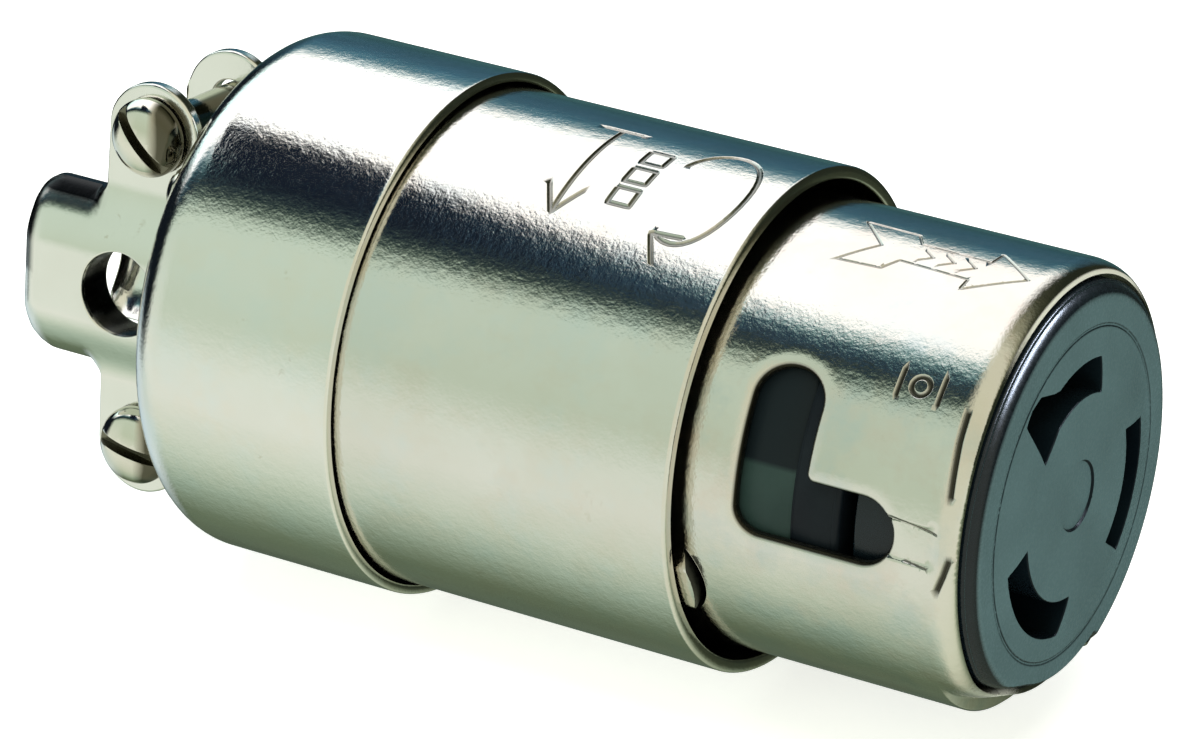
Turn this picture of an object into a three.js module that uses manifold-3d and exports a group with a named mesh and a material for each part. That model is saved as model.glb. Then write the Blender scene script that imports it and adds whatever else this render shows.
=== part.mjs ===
// Armoured locking connector body, 50 A class: three nickel-plated steel shell sections, a black
// moulded insert with three curved blade slots, and a two-jaw cord clamp at the rear.
// Millimetres. +X runs along the connector towards the mating end, +Z is up, the body lies on its
// side. The origin is the floor of the small round recess in the middle of the mating face.
import * as THREE from 'three';
import { mergeVertices } from 'three/addons/utils/BufferGeometryUtils.js';
import Module from 'manifold-3d';

// ---- driving dimensions ------------------------------------------------------------------------
const GAP = 0.3; // clearance between neighbouring pieces

const RIM_SEGMENTS = 72; // facets round the shell sections
const CORE_SEGMENTS = 60; // facets round the moulded pieces
const ROD_SEGMENTS = 20; // facets round screws and their holes

const FACE_X = 0.6; // flat mating face, in front of the recess floor
const RECESS_R = 3.7;
const INSERT_R = 22.2;
const INSERT_REAR_X = -13.4;
const INSERT_EDGE_R = 1.1; // rounding of the front edge
const FACE_GROOVE_R = 18.5; // fine ring groove on the face
const RELIEF_R = 20.3; // insert radius behind the keyway, where the shell is pressed in

const NOSE_R = 24.0;
const NOSE_T = 1.2;
const NOSE_CREASE_X = -3.0; // where the front lip starts to turn in
const NOSE_LIP_X = -1.3;
const NOSE_FLARE_X = -44.5; // the nose widens behind this, inside the sleeve
const NOSE_FLARE_R = 25.3;
const NOSE_REAR_X = -58.5;
const TAB_RISE = 1.2; // stop tabs stand proud of the nose by this much

const SLEEVE_R = 27.1;
const SLEEVE_T = 1.5;
const SLEEVE_FRONT_X = -32.1;
const SLEEVE_REAR_X = -86;

const CAP_R = 28.6;
const CAP_T = 1.1;
const CAP_FRONT_X = -71.5;
const CAP_REAR_X = -97.8;
const CAP_SHOULDER_R = 5.5;
const CAP_WALL_T = 1.4;
const CAP_HOLE_R = 14;

const SLOT_R = 13.1; // pitch radius of the blade slots
const SLOT_HALF_W = 1.9;
const CONTACT_ANGLES = [101, -18, -136]; // degrees about +X, from +Y towards +Z
const LEAF_HALF_ANGLE = 24;
const POCKET_HALF_ANGLE = 28;

const CARRIER_FRONT_X = -15;
const CARRIER_REAR_X = -57;
const CARRIER_R = 22.4;
const CARRIER_FLANGE_R = 23.7;
const CARRIER_FLANGE_X = -47.8;

const PIN_ANGLES = [171.3, -8.7]; // bayonet slots, one each side
const CHANNEL_HALF_ANGLE = 5;
const CHANNEL_DEPTH = 0.35; // shallow track between a bayonet slot and the front lip
const KEYWAY = [-143, -75]; // wide pressed-in length of the front lip
const PRESSED_R = 21.6; // outside radius of a pressed-in floor

const BOX_X = -64.5; // terminals: middle of the clamping box
const TAIL_R = [8.8, 10.2];
const TAIL_HALF_W = 3.5;
const GRUB_R = 3;
const GROUND_ANGLE = 42;
const GROUND_R = 16;

const POST_ANGLES = [130, -50]; // long assembly screws
const POST_R = 20.3;

const CLAMP_ROLL = -7.1; // clamp screws lean by this much from level, degrees
const CLAMP_X = -105.8;
const EAR_W = 17.6; // clamp screw spacing is twice this
const EAR_R = 5.7;
const JAW_T = 1.6;
const JAW_FRONT_X = CAP_REAR_X - GAP;
const JAW_REAR_X = -120.5;
const SADDLE_HALF_W = 10;
const SADDLE_RISE = 3.2;
const NEAR_EAR = 11.1; // outer face of the near ears, from the connector axis
const FAR_EAR = 5.6; // outer face of the far ears, the other way
const JAW_HOLE_X = -107.4;
const JAW_HOLE_R = 4.7;
const JAW_COLLAR = 5; // depth of the turned-in collar of the near jaw's hole, from its outer face
const CLAMP_SCREW_R = 2.1;

// ---- solids ------------------------------------------------------------------------------------
const wasm = await Module();
wasm.setup();
const rad = THREE.MathUtils.degToRad;

/** A three.js geometry as one manifold solid, whichever way its triangles were wound. */
function solid(geometry) {
  const g = geometry.clone();
  g.deleteAttribute('normal');
  g.deleteAttribute('uv');
  const m = mergeVertices(g, 1e-4);
  const p = m.attributes.position.array;
  const at = (i) => new THREE.Vector3(p[3 * i], p[3 * i + 1], p[3 * i + 2]);
  let tris = [];
  let volume = 0;
  for (let i = 0; i < m.index.count; i += 3) {
    const [a, b, c] = [0, 1, 2].map((k) => m.index.getX(i + k));
    if (a === b || b === c || c === a) continue;
    tris.push([a, b, c]);
    volume += at(a).dot(at(b).cross(at(c)));
  }
  if (volume < 0) tris = tris.map(([a, b, c]) => [a, c, b]);
  return new wasm.Manifold(new wasm.Mesh({
    numProp: 3,
    vertProperties: Float32Array.from(p),
    triVerts: Uint32Array.from(tris.flat()),
  }));
}

/** Solid of revolution about the X axis from a closed loop of [x, r] points. */
function revolve(loop, segments) {
  const points = [...loop, loop[0]].map(([x, r]) => new THREE.Vector2(Math.max(r, 0), x));
  return solid(new THREE.LatheGeometry(points, segments).rotateZ(-Math.PI / 2));
}

/** Flat outline [[u, v], ...] swept along the third axis of the given frame. */
function prism(outline, length, origin, uAxis, vAxis) {
  const shape = new THREE.Shape(outline.map(([u, v]) => new THREE.Vector2(u, v)));
  const g = new THREE.ExtrudeGeometry(shape, { depth: length, bevelEnabled: false });
  const u = new THREE.Vector3(...uAxis);
  const v = new THREE.Vector3(...vAxis);
  const m = new THREE.Matrix4().makeBasis(u, v, u.clone().cross(v)).setPosition(...origin);
  return solid(g.applyMatrix4(m));
}

/** Outline in the YZ plane, swept from x0 to x1. */
const alongX = (outline, x0, x1) => prism(outline, x1 - x0, [x0, 0, 0], [0, 1, 0], [0, 0, 1]);

/** Outline of [x, degrees] wrapped round the X axis, thick from radius r0 to r1. */
function wrapped(outline, r0, r1) {
  const shape = new THREE.Shape(outline.map(([x, a]) => new THREE.Vector2(x, a)));
  const g = new THREE.ExtrudeGeometry(shape, { depth: r1 - r0, bevelEnabled: false });
  const p = g.attributes.position;
  for (let i = 0; i < p.count; i++) {
    const a = rad(p.getY(i));
    const r = r0 + p.getZ(i);
    p.setXYZ(i, p.getX(i), r * Math.cos(a), r * Math.sin(a));
  }
  return solid(g);
}

/** Part of a ring between two radii and two angles, swept along X. */
function arcBand(r0, r1, a0, a1, x0, x1, steps = 8) {
  const arc = (r, from, to) => Array.from({ length: steps + 1 }, (_, i) => {
    const a = rad(from + ((to - from) * i) / steps);
    return [r * Math.cos(a), r * Math.sin(a)];
  });
  return alongX([...arc(r0, a0, a1), ...arc(r1, a1, a0)], x0, x1);
}

/** Outline points of a circle. */
const circle = (u, v, r, n = ROD_SEGMENTS) => Array.from({ length: n }, (_, i) => [
  u + r * Math.cos((2 * Math.PI * i) / n), v + r * Math.sin((2 * Math.PI * i) / n)]);

/** A polygon [[u, v, cornerRadius], ...] with its corners rounded. */
function rounded(corners, steps = 4) {
  const out = [];
  corners.forEach(([u, v, r], i) => {
    const here = new THREE.Vector2(u, v);
    if (!r) { out.push([u, v]); return; }
    const before = corners[(i + corners.length - 1) % corners.length];
    const after = corners[(i + 1) % corners.length];
    const toA = new THREE.Vector2(before[0], before[1]).sub(here).normalize();
    const toB = new THREE.Vector2(after[0], after[1]).sub(here).normalize();
    const half = Math.acos(THREE.MathUtils.clamp(toA.dot(toB), -1, 1)) / 2;
    const reach = r / Math.tan(half);
    const centre = toA.clone().add(toB).normalize().multiplyScalar(r / Math.sin(half)).add(here);
    const a = toA.multiplyScalar(reach).add(here).sub(centre);
    const b = toB.multiplyScalar(reach).add(here).sub(centre);
    const turn = Math.atan2(a.x * b.y - a.y * b.x, a.dot(b));
    for (let k = 0; k <= steps; k++) {
      const q = a.clone().rotateAround(new THREE.Vector2(), (turn * k) / steps).add(centre);
      out.push([q.x, q.y]);
    }
  });
  return out;
}

/** Local frame at an angle round the axis: radial and tangential unit vectors. */
function polar(degrees) {
  const c = Math.cos(rad(degrees));
  const s = Math.sin(rad(degrees));
  return { r: [0, c, s], t: [0, -s, c] };
}

/** Block given by its ranges along X, along a radial direction and across it. */
function polarBlock(degrees, x0, x1, r0, r1, t0, t1) {
  const { r, t } = polar(degrees);
  return prism([[r0, t0], [r1, t0], [r1, t1], [r0, t1]], x1 - x0, [x0, 0, 0], r, t);
}

/** Round bar along X at a given polar place, from a list of [x, radius] steps. */
function barAlongX(steps, degrees, radius) {
  const { r } = polar(degrees);
  const first = steps[0];
  const last = steps[steps.length - 1];
  return revolve([[first[0], 0], ...steps, [last[0], 0]], ROD_SEGMENTS)
    .translate(0, radius * r[1], radius * r[2]);
}

// ---- shell sections ----------------------------------------------------------------------------
const bayonetSlot = (pin) => rounded([
  [-8.5, pin - 8.2, 3.4], [-8.5, pin + 8.8, 3.4], [-26.1, pin + 8.8, 2.6],
  [-26.1, pin - 34.8, 3.6], [-18.6, pin - 34.8, 3.6], [-18.6, pin - 8.2, 1],
].map(([x, a, r]) => [x, a * 0.42, r]), 5).map(([x, s]) => [x, s / 0.42]);

function noseShell() {
  const inner = NOSE_R - NOSE_T;
  let s = revolve([
    [NOSE_REAR_X, NOSE_FLARE_R], [NOSE_FLARE_X - 2, NOSE_FLARE_R], [NOSE_FLARE_X, NOSE_R],
    [NOSE_CREASE_X, NOSE_R], [-2.3, 23.82], [-1.65, 23.35], [NOSE_LIP_X, 22.85],
    [-1.7, 22.6], [-2.5, inner], [NOSE_FLARE_X - 0.5, inner],
    [NOSE_FLARE_X - 2.5, NOSE_FLARE_R - NOSE_T], [NOSE_REAR_X, NOSE_FLARE_R - NOSE_T],
  ], RIM_SEGMENTS);
  const press = (a0, a1, x0) => {
    s = s.add(arcBand(PRESSED_R - NOSE_T, inner + 0.5, a0 - 3, a1 + 3, x0 - 1.2, -1.9, 12));
    s = s.subtract(arcBand(PRESSED_R, NOSE_R + 3, a0, a1, x0, 0.2, 12));
  };
  press(KEYWAY[0], KEYWAY[1], -4.2);
  for (const pin of PIN_ANGLES) {
    s = s.subtract(arcBand(NOSE_R - CHANNEL_DEPTH, NOSE_R + 3, pin - CHANNEL_HALF_ANGLE,
      pin + CHANNEL_HALF_ANGLE, -9.5, -3.6, 6));
    s = s.subtract(wrapped(bayonetSlot(pin), PRESSED_R - 3, NOSE_R + 4));
    // lanced stop tab just in front of the sleeve, beside each slot
    const tab = pin + 28.6;
    const lens = rounded([[-31.7, tab - 10.8], [-30.33, tab - 5.4], [-29.9, tab], [-30.33, tab + 5.4],
      [-31.7, tab + 10.8], [-31.7, tab + 9.4], [-31, tab + 5], [-30.6, tab], [-31, tab - 5],
      [-31.7, tab - 9.4]].map(([x, a]) => [x, a, 0]));
    s = s.subtract(wrapped(lens, NOSE_R - 3, NOSE_R + 2));
    const raised = [[-35.2, tab - 8], [-31.9, tab - 8], [-31.3, tab - 4.5], [-31, tab],
      [-31.3, tab + 4.5], [-31.9, tab + 8], [-35.2, tab + 8]];
    s = s.add(wrapped(raised, NOSE_R - 0.7, NOSE_R + TAB_RISE));
  }
  return s;
}

function middleSleeve() {
  const inner = SLEEVE_R - SLEEVE_T;
  return revolve([
    [SLEEVE_REAR_X, SLEEVE_R], [SLEEVE_FRONT_X - 0.5, SLEEVE_R], [SLEEVE_FRONT_X - 0.1, SLEEVE_R - 0.3],
    [SLEEVE_FRONT_X, SLEEVE_R - 0.8], [SLEEVE_FRONT_X - 0.2, inner + 0.2],
    [SLEEVE_FRONT_X - 0.6, inner], [SLEEVE_REAR_X, inner],
  ], RIM_SEGMENTS);
}

function rearCap() {
  const inner = CAP_R - CAP_T;
  const cx = CAP_REAR_X + CAP_SHOULDER_R;
  const cr = CAP_R - CAP_SHOULDER_R;
  const arc = (r, from, to, n = 6) => Array.from({ length: n + 1 }, (_, i) => {
    const a = rad(from + ((to - from) * i) / n);
    return [cx - r * Math.sin(a), cr + r * Math.cos(a)];
  });
  const wallIn = CAP_REAR_X + CAP_WALL_T;
  let s = revolve([
    [CAP_FRONT_X, CAP_R - 0.3], [CAP_FRONT_X - 0.3, CAP_R], ...arc(CAP_SHOULDER_R, 0, 90),
    [CAP_REAR_X, CAP_HOLE_R], [wallIn, CAP_HOLE_R],
    ...arc(CAP_SHOULDER_R - CAP_WALL_T, 90, 30, 4), [cx + 2.5, inner], [CAP_FRONT_X, inner],
  ], RIM_SEGMENTS);
  for (const a of POST_ANGLES) {
    s = s.subtract(barAlongX([[CAP_REAR_X - 2, 2.2], [wallIn + 2, 2.2]], a, POST_R));
  }
  for (const [a, w] of footScrewPlaces()) s = s.subtract(clampRod(a, w, 1.9, CAP_REAR_X - 2, wallIn + 2));
  return s;
}

// ---- insert, carrier and contacts --------------------------------------------------------------
const polarOutline = (points) => points.map(([r, a]) => [r * Math.cos(rad(a)), r * Math.sin(rad(a))]);

function arcSlot(from, to, r0 = SLOT_R - SLOT_HALF_W, r1 = SLOT_R + SLOT_HALF_W, steps = 7) {
  const run = (r, a, b) => Array.from({ length: steps + 1 }, (_, i) => [r, a + ((b - a) * i) / steps]);
  return [...run(r0, from[0], to[0]), ...run(r1, to[1], from[1])];
}

// the three blade slots: one plain, one with slanted ends, one with an outward hook
const BLADE_SLOTS = [
  [...arcSlot([65, 71], [116, 110], 10.9, 14.5, 5).slice(0, 6), [10.4, 128], [10.4, 137.5],
    [13.2, 134.5], [16.9, 131.5], [17.2, 126], [16.8, 119.5], [15, 112],
    ...arcSlot([65, 71], [116, 108], 10.9, 14.5, 5).slice(6)],
  arcSlot([-50.5, -47], [14, 9]),
  arcSlot([-173.5, -170], [-96, -102.5]),
];

function faceInsert() {
  const e = INSERT_EDGE_R;
  const edge = [0, 30, 60, 90].map((d) => [
    FACE_X - e + e * Math.cos(rad(d)), INSERT_R - e + e * Math.sin(rad(d))]);
  let s = revolve([
    [0, 0], [0, RECESS_R], [FACE_X, RECESS_R],
    [FACE_X, FACE_GROOVE_R - 0.25], [FACE_X - 0.4, FACE_GROOVE_R], [FACE_X, FACE_GROOVE_R + 0.25],
    ...edge, [INSERT_REAR_X, INSERT_R], [INSERT_REAR_X, 2.3], [-5, 2.3], [-5, 0],
  ], CORE_SEGMENTS);
  for (const slot of BLADE_SLOTS) {
    s = s.subtract(alongX(polarOutline(slot), INSERT_REAR_X - 1, FACE_X + 1));
  }
  const relief = (a0, a1, x0) => {
    s = s.subtract(arcBand(RELIEF_R - 0.25, INSERT_R + 2, a0, a1, x0, FACE_X + 1, 8));
  };
  relief(KEYWAY[0] - 3.9, KEYWAY[1] + 3.9, -7);
  return s;
}

function contactCarrier() {
  let s = revolve([
    [CARRIER_FRONT_X, 0], [CARRIER_FRONT_X, CARRIER_R - 0.6], [CARRIER_FRONT_X - 0.6, CARRIER_R],
    [CARRIER_FLANGE_X, CARRIER_R], [CARRIER_FLANGE_X, CARRIER_FLANGE_R],
    [CARRIER_REAR_X, CARRIER_FLANGE_R], [CARRIER_REAR_X, 0],
  ], CORE_SEGMENTS);
  for (const a of POST_ANGLES) {
    s = s.add(barAlongX([[-66, 3.2], [CARRIER_REAR_X + 1, 3.2]], a, POST_R));
    s = s.subtract(barAlongX([[-67, 2.2], [-49, 2.2]], a, POST_R));
  }
  for (const a of CONTACT_ANGLES) {
    const [a0, a1] = [a - POCKET_HALF_ANGLE, a + POCKET_HALF_ANGLE];
    s = s.subtract(arcBand(10.8, 15.4, a0, a1, -44, CARRIER_FRONT_X + 1));
    s = s.subtract(arcBand(8.4, 15.4, a0, a1, CARRIER_REAR_X - 1, -43.8));
  }
  s = s.subtract(polarBlock(GROUND_ANGLE, -58, CARRIER_FLANGE_X - 0.1, 21.9, 26, -4, 4));
  s = s.subtract(barAlongX([[-60, 2.3], [-10, 2.3]], 0, 0));
  return s;
}

function contact(a) {
  const [a0, a1] = [a - LEAF_HALF_ANGLE, a + LEAF_HALF_ANGLE];
  return arcBand(11.2, 12, a0, a1, -46, -17)
    .add(arcBand(14.1, 14.9, a0, a1, -46, -17))
    .add(arcBand(TAIL_R[0], 14.9, a0, a1, -46, -44.6))
    .add(polarBlock(a, -69, -45, TAIL_R[0], TAIL_R[1], -TAIL_HALF_W, TAIL_HALF_W));
}

// ---- terminals ---------------------------------------------------------------------------------
/** Round bar along a radial direction through the middle of a terminal. */
function radialBar(a, r0, r1, radius) {
  const { r, t } = polar(a);
  return prism(circle(0, 0, radius), r1 - r0, [BOX_X, r0 * r[1], r0 * r[2]], t, [1, 0, 0]);
}

function terminalBox(a) {
  return polarBlock(a, BOX_X - 5.5, BOX_X + 5.5, 7.2, 18.5, -5.5, 5.5)
    .subtract(polarBlock(a, BOX_X - 7, BOX_X + 7, 8.5, 16.9, -3.9, 3.9))
    .subtract(radialBar(a, 16, 20, GRUB_R + GAP));
}

const pressurePlate = (a) => polarBlock(a, BOX_X - 4, BOX_X + 4, 14.6, 15.8, -3.4, 3.4);

const terminalScrew = (a) => radialBar(a, 16.1, 22.6, GRUB_R)
  .subtract(polarBlock(a, BOX_X - 4, BOX_X + 4, 21.2, 24, -0.5, 0.5));

function groundStrap() {
  return polarBlock(GROUND_ANGLE, -68, -49, 22.4, 23.5, -3.3, 3.3)
    .add(polarBlock(GROUND_ANGLE, -68, -66.6, 11, 23.5, -4.5, 4.5)
      .subtract(barAlongX([[-70, 2.5], [-65, 2.5]], GROUND_ANGLE, GROUND_R)));
}

const groundPlate = () => polarBlock(GROUND_ANGLE, -72.5, -71.2, GROUND_R - 4.8, GROUND_R + 4.8, -4.8, 4.8)
  .subtract(barAlongX([[-74, 2.5], [-70, 2.5]], GROUND_ANGLE, GROUND_R));

/** Slotted screw along X, head at its low-x end. */
function screwAlongX(a, r, headX, headR, headH, shankR, endX) {
  const dome = [[headX - headH, headR * 0.55], [headX - headH * 0.7, headR * 0.88],
    [headX - headH * 0.35, headR], [headX, headR]];
  return barAlongX([...dome, [headX, shankR], [endX - 0.5, shankR], [endX, shankR - 0.5]], a, r)
    .subtract(polarBlock(a, headX - headH - 1, headX - headH * 0.5, r - 8, r + 8, -0.5, 0.5));
}

// ---- cord clamp --------------------------------------------------------------------------------
// clamp frame: "out" points towards the near jaw, "up" along the line of the two clamp screws
const CLAMP_OUT = [0, -Math.cos(rad(CLAMP_ROLL)), -Math.sin(rad(CLAMP_ROLL))];
const CLAMP_UP = [0, -Math.sin(rad(CLAMP_ROLL)), Math.cos(rad(CLAMP_ROLL))];
const clampPoint = (x, out, up) => [0, 1, 2].map((i) => (i === 0 ? x : out * CLAMP_OUT[i] + up * CLAMP_UP[i]));

/** Outline of [out, up] points swept along X. */
const clampAlongX = (outline, x0, x1) => prism(
  outline.map(([out, up]) => [up, out]), x1 - x0, [x0, 0, 0], CLAMP_UP, CLAMP_OUT);

/** Outline of [x, up] points swept along the clamp's out direction. */
const clampOutward = (outline, out0, out1) => prism(
  outline, out1 - out0, clampPoint(0, out0, 0), [1, 0, 0], CLAMP_UP);

/** Round bar along X placed in the clamp frame. */
const clampRod = (out, up, radius, x0, x1) => clampAlongX(circle(out, up, radius), x0, x1);

/** Two small screws hold the foot of the far jaw to the cap: [out, up]. */
function footScrewPlaces() {
  return [[-15.5, 4.8], [-15.5, -4.8]];
}

/** Middle line of the jaw across its width: flat ears, raised saddle. */
function saddleHeight(w) {
  const t = THREE.MathUtils.clamp((Math.abs(w) - 3.5) / 8, 0, 1);
  return SADDLE_RISE * (1 - t * t * (3 - 2 * t));
}

/** One jaw, with side = 1 for the near one and -1 for the far one, which has a foot. */
function jaw(side, earOuter) {
  const end = EAR_W + EAR_R + 1;
  const ws = [-end, -11.5, -9.5, -7.5, -5.5, -3.5, 0, 3.5, 5.5, 7.5, 9.5, 11.5, end];
  const line = (offset) => ws.map((w) => [side * (earOuter + saddleHeight(w) + offset), w]);
  const band = [...line(0), ...line(-JAW_T).reverse()];
  const earEnd = (s, from, to) => Array.from({ length: 9 }, (_, i) => {
    const a = rad(from + ((to - from) * i) / 8);
    return [CLAMP_X + EAR_R * Math.cos(a), s * EAR_W + EAR_R * Math.sin(a)];
  });
  const half = SADDLE_HALF_W;
  const outline = [
    [JAW_FRONT_X, -half], [CLAMP_X + EAR_R, -half], ...earEnd(-1, 0, -180),
    ...rounded([[CLAMP_X - EAR_R, -half, 0.8], [JAW_REAR_X, -half, 2], [JAW_REAR_X, half, 2],
      [CLAMP_X - EAR_R, half, 0.8]]),
    ...earEnd(1, 180, 0), [CLAMP_X + EAR_R, half], [JAW_FRONT_X, half],
  ];
  const [lo, hi] = side > 0 ? [0, 40] : [-40, 0];
  let s = clampAlongX(band, JAW_REAR_X - 1, JAW_FRONT_X).intersect(clampOutward(outline, lo, hi));
  for (const w of [-EAR_W, EAR_W]) {
    s = s.subtract(clampOutward(circle(CLAMP_X, w, CLAMP_SCREW_R + 0.35), lo, hi));
  }
  if (side > 0) {
    const face = earOuter + SADDLE_RISE;
    const collar = circle(JAW_HOLE_X, 0, JAW_HOLE_R + 1.2, 28);
    s = s.add(clampOutward(collar, face - JAW_COLLAR, face - 0.8));
  }
  s = s.subtract(clampOutward(circle(JAW_HOLE_X, 0, JAW_HOLE_R, 28), lo, hi));
  if (side > 0) return s;
  // foot that stands against the rear wall of the cap
  const foot = [...line(-JAW_T).slice(2, -2), [-21, 7], [-21, -7]];
  s = s.add(clampAlongX(foot, JAW_FRONT_X - JAW_T, JAW_FRONT_X));
  for (const [out, up] of footScrewPlaces()) {
    s = s.subtract(clampRod(out, up, 1.9, JAW_FRONT_X - 3, JAW_FRONT_X + 1));
  }
  return s;
}

/** Slotted pan-head clamp screw at +up or -up. */
function clampScrew(up) {
  const head = NEAR_EAR + GAP;
  const tip = -FAR_EAR - 4;
  const loop = [[tip, 0], [tip, 1.6], [tip + 0.6, CLAMP_SCREW_R], [head, CLAMP_SCREW_R], [head, 4.35],
    [head + 0.9, 4.35], [head + 1.9, 3.75], [head + 2.6, 2.6], [head + 3, 1.2], [head + 3.05, 0]];
  const slot = solid(new THREE.BoxGeometry(2.4, 12, 1.1)).translate(head + 2.6, 0, 0)
    .rotate(up > 0 ? 44 : 80, 0, 0);
  const m = new THREE.Matrix4().makeBasis(
    new THREE.Vector3(...CLAMP_OUT), new THREE.Vector3(...CLAMP_UP), new THREE.Vector3(-1, 0, 0));
  m.setPosition(...clampPoint(CLAMP_X, 0, up));
  return revolve(loop, 28).subtract(slot).transform(m.elements);
}

const footScrew = ([out, up]) => {
  const [, y, z] = clampPoint(0, out, up);
  const a = THREE.MathUtils.radToDeg(Math.atan2(z, y));
  const head = JAW_FRONT_X - JAW_T - GAP;
  return screwAlongX(a, Math.hypot(y, z), head, 3.1, 2, 1.55, -92);
};

// ---- assembly ----------------------------------------------------------------------------------
const NICKEL = { color: 0xc9c8bd, roughness: 0.24, metalness: 1 };
const SCREW_NICKEL = { color: 0xb9b4a2, roughness: 0.3, metalness: 1 };
const BLACK_NYLON = { color: 0x14191a, roughness: 0.38, metalness: 0 };
const BRASS = { color: 0xb58f45, roughness: 0.35, metalness: 1 };
const STEEL = { color: 0x9b9d9c, roughness: 0.4, metalness: 1 };
const GREEN_STEEL = { color: 0x2f7a4b, roughness: 0.45, metalness: 0.6 };
const FIBRE = { color: 0x4a4640, roughness: 0.8, metalness: 0 };

const connector = new THREE.Group();
connector.name = 'locking_connector_body';

function place(name, manifold, look) {
  const mesh = manifold.getMesh();
  const g = new THREE.BufferGeometry();
  g.setAttribute('position', new THREE.BufferAttribute(Float32Array.from(mesh.vertProperties), 3));
  g.setIndex(new THREE.BufferAttribute(Uint32Array.from(mesh.triVerts), 1));
  g.computeVertexNormals();
  const m = new THREE.Mesh(g, new THREE.MeshStandardMaterial(look));
  m.name = name;
  connector.add(m);
}

place('rear_cap', rearCap(), NICKEL);
place('middle_sleeve', middleSleeve(), NICKEL);
place('nose_shell', noseShell(), NICKEL);
place('insulating_liner', revolve([[-94.5, 25.2], [-59.2, 25.2], [-59.2, 24.2], [-94.5, 24.2]],
  CORE_SEGMENTS), FIBRE);
place('face_insert', faceInsert(), BLACK_NYLON);
place('contact_carrier', contactCarrier(), BLACK_NYLON);
place('centre_screw', screwAlongX(0, 0, CARRIER_REAR_X - GAP, 3.7, 2.4, 2, -6), STEEL);

CONTACT_ANGLES.forEach((a, i) => {
  const n = i + 1;
  place(`contact_${n}`, contact(a), BRASS);
  place(`terminal_box_${n}`, terminalBox(a), BRASS);
  place(`pressure_plate_${n}`, pressurePlate(a), STEEL);
  place(`terminal_screw_${n}`, terminalScrew(a), STEEL);
});

place('ground_strap', groundStrap(), STEEL);
place('ground_plate', groundPlate(), STEEL);
place('ground_screw', screwAlongX(GROUND_ANGLE, GROUND_R, -72.8, 4.2, 2.6, 2.2, -61), GREEN_STEEL);

POST_ANGLES.forEach((a, i) => place(`assembly_screw_${i + 1}`,
  screwAlongX(a, POST_R, CAP_REAR_X - GAP, 3, 2.3, 1.9, -52), SCREW_NICKEL));

place('clamp_jaw_near', jaw(1, NEAR_EAR), NICKEL);
place('clamp_jaw_far', jaw(-1, FAR_EAR), NICKEL);
place('clamp_screw_upper', clampScrew(EAR_W), SCREW_NICKEL);
place('clamp_screw_lower', clampScrew(-EAR_W), SCREW_NICKEL);
footScrewPlaces().forEach((p, i) => place(`jaw_foot_screw_${i + 1}`, footScrew(p), SCREW_NICKEL));

export default connector;
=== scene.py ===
"""Looks for the locking connector body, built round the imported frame."""
import math

import bmesh
import bpy
import numpy as np
from mathutils import Matrix, Vector
from mathutils.geometry import delaunay_2d_cdt


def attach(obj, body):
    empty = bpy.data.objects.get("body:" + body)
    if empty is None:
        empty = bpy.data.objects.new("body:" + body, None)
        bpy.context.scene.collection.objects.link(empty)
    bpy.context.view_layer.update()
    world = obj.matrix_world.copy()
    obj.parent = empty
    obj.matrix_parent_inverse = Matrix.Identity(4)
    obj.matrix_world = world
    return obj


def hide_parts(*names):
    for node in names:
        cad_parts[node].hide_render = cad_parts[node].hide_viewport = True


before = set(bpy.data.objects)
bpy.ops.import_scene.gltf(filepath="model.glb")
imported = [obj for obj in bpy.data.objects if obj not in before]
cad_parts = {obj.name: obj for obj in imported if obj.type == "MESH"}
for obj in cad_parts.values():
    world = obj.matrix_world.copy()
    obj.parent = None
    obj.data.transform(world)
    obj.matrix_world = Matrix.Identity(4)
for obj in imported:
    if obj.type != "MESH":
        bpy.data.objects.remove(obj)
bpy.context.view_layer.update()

MM = 0.001
rad = math.radians

# ---- sizes, in millimetres, the same as the frame's ----
NOSE_R, NOSE_IN = 24.0, 22.8
SLEEVE_R, SLEEVE_IN = 27.1, 25.6
CAP_R, CAP_IN = 28.6, 27.5
CAP_REAR_X, CAP_WALL_X, CAP_FRONT_X = -97.8, -96.4, -71.5
CAP_SHOULDER, CAP_HOLE_R = 5.5, 14.0
CONTACTS = (101.0, -18.0, -136.0)
POST_TURNS, POST_R = (130.0, -50.0), 20.3
CLAMP_X, EAR_W, EAR_R, JAW_T = -105.8, 17.6, 5.7, 1.6
JAW_FRONT, JAW_REAR = -98.1, -120.5
NEAR_EAR, FAR_EAR = 11.1, 5.6
JAW_HOLE_X, JAW_HOLE_R, JAW_COLLAR, SADDLE_RISE = -107.4, 4.7, 5.0, 3.2
ROLL = rad(-7.1)
OUT = np.array([0, -math.cos(ROLL), -math.sin(ROLL)])
UP = np.array([0, -math.sin(ROLL), math.cos(ROLL)])
FOOT_OUT, FOOT_UPS, FOOT_HOLE_R = -15.5, (4.8, -4.8), 1.9
POSTS = [(POST_R * math.cos(rad(a)), POST_R * math.sin(rad(a))) for a in POST_TURNS]
MM_PER_DEG = NOSE_R * rad(1)


# ---- curves in the plane ----
def smooth(t):
    t = np.clip(t, 0, 1)
    return t * t * (3 - 2 * t)


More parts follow.
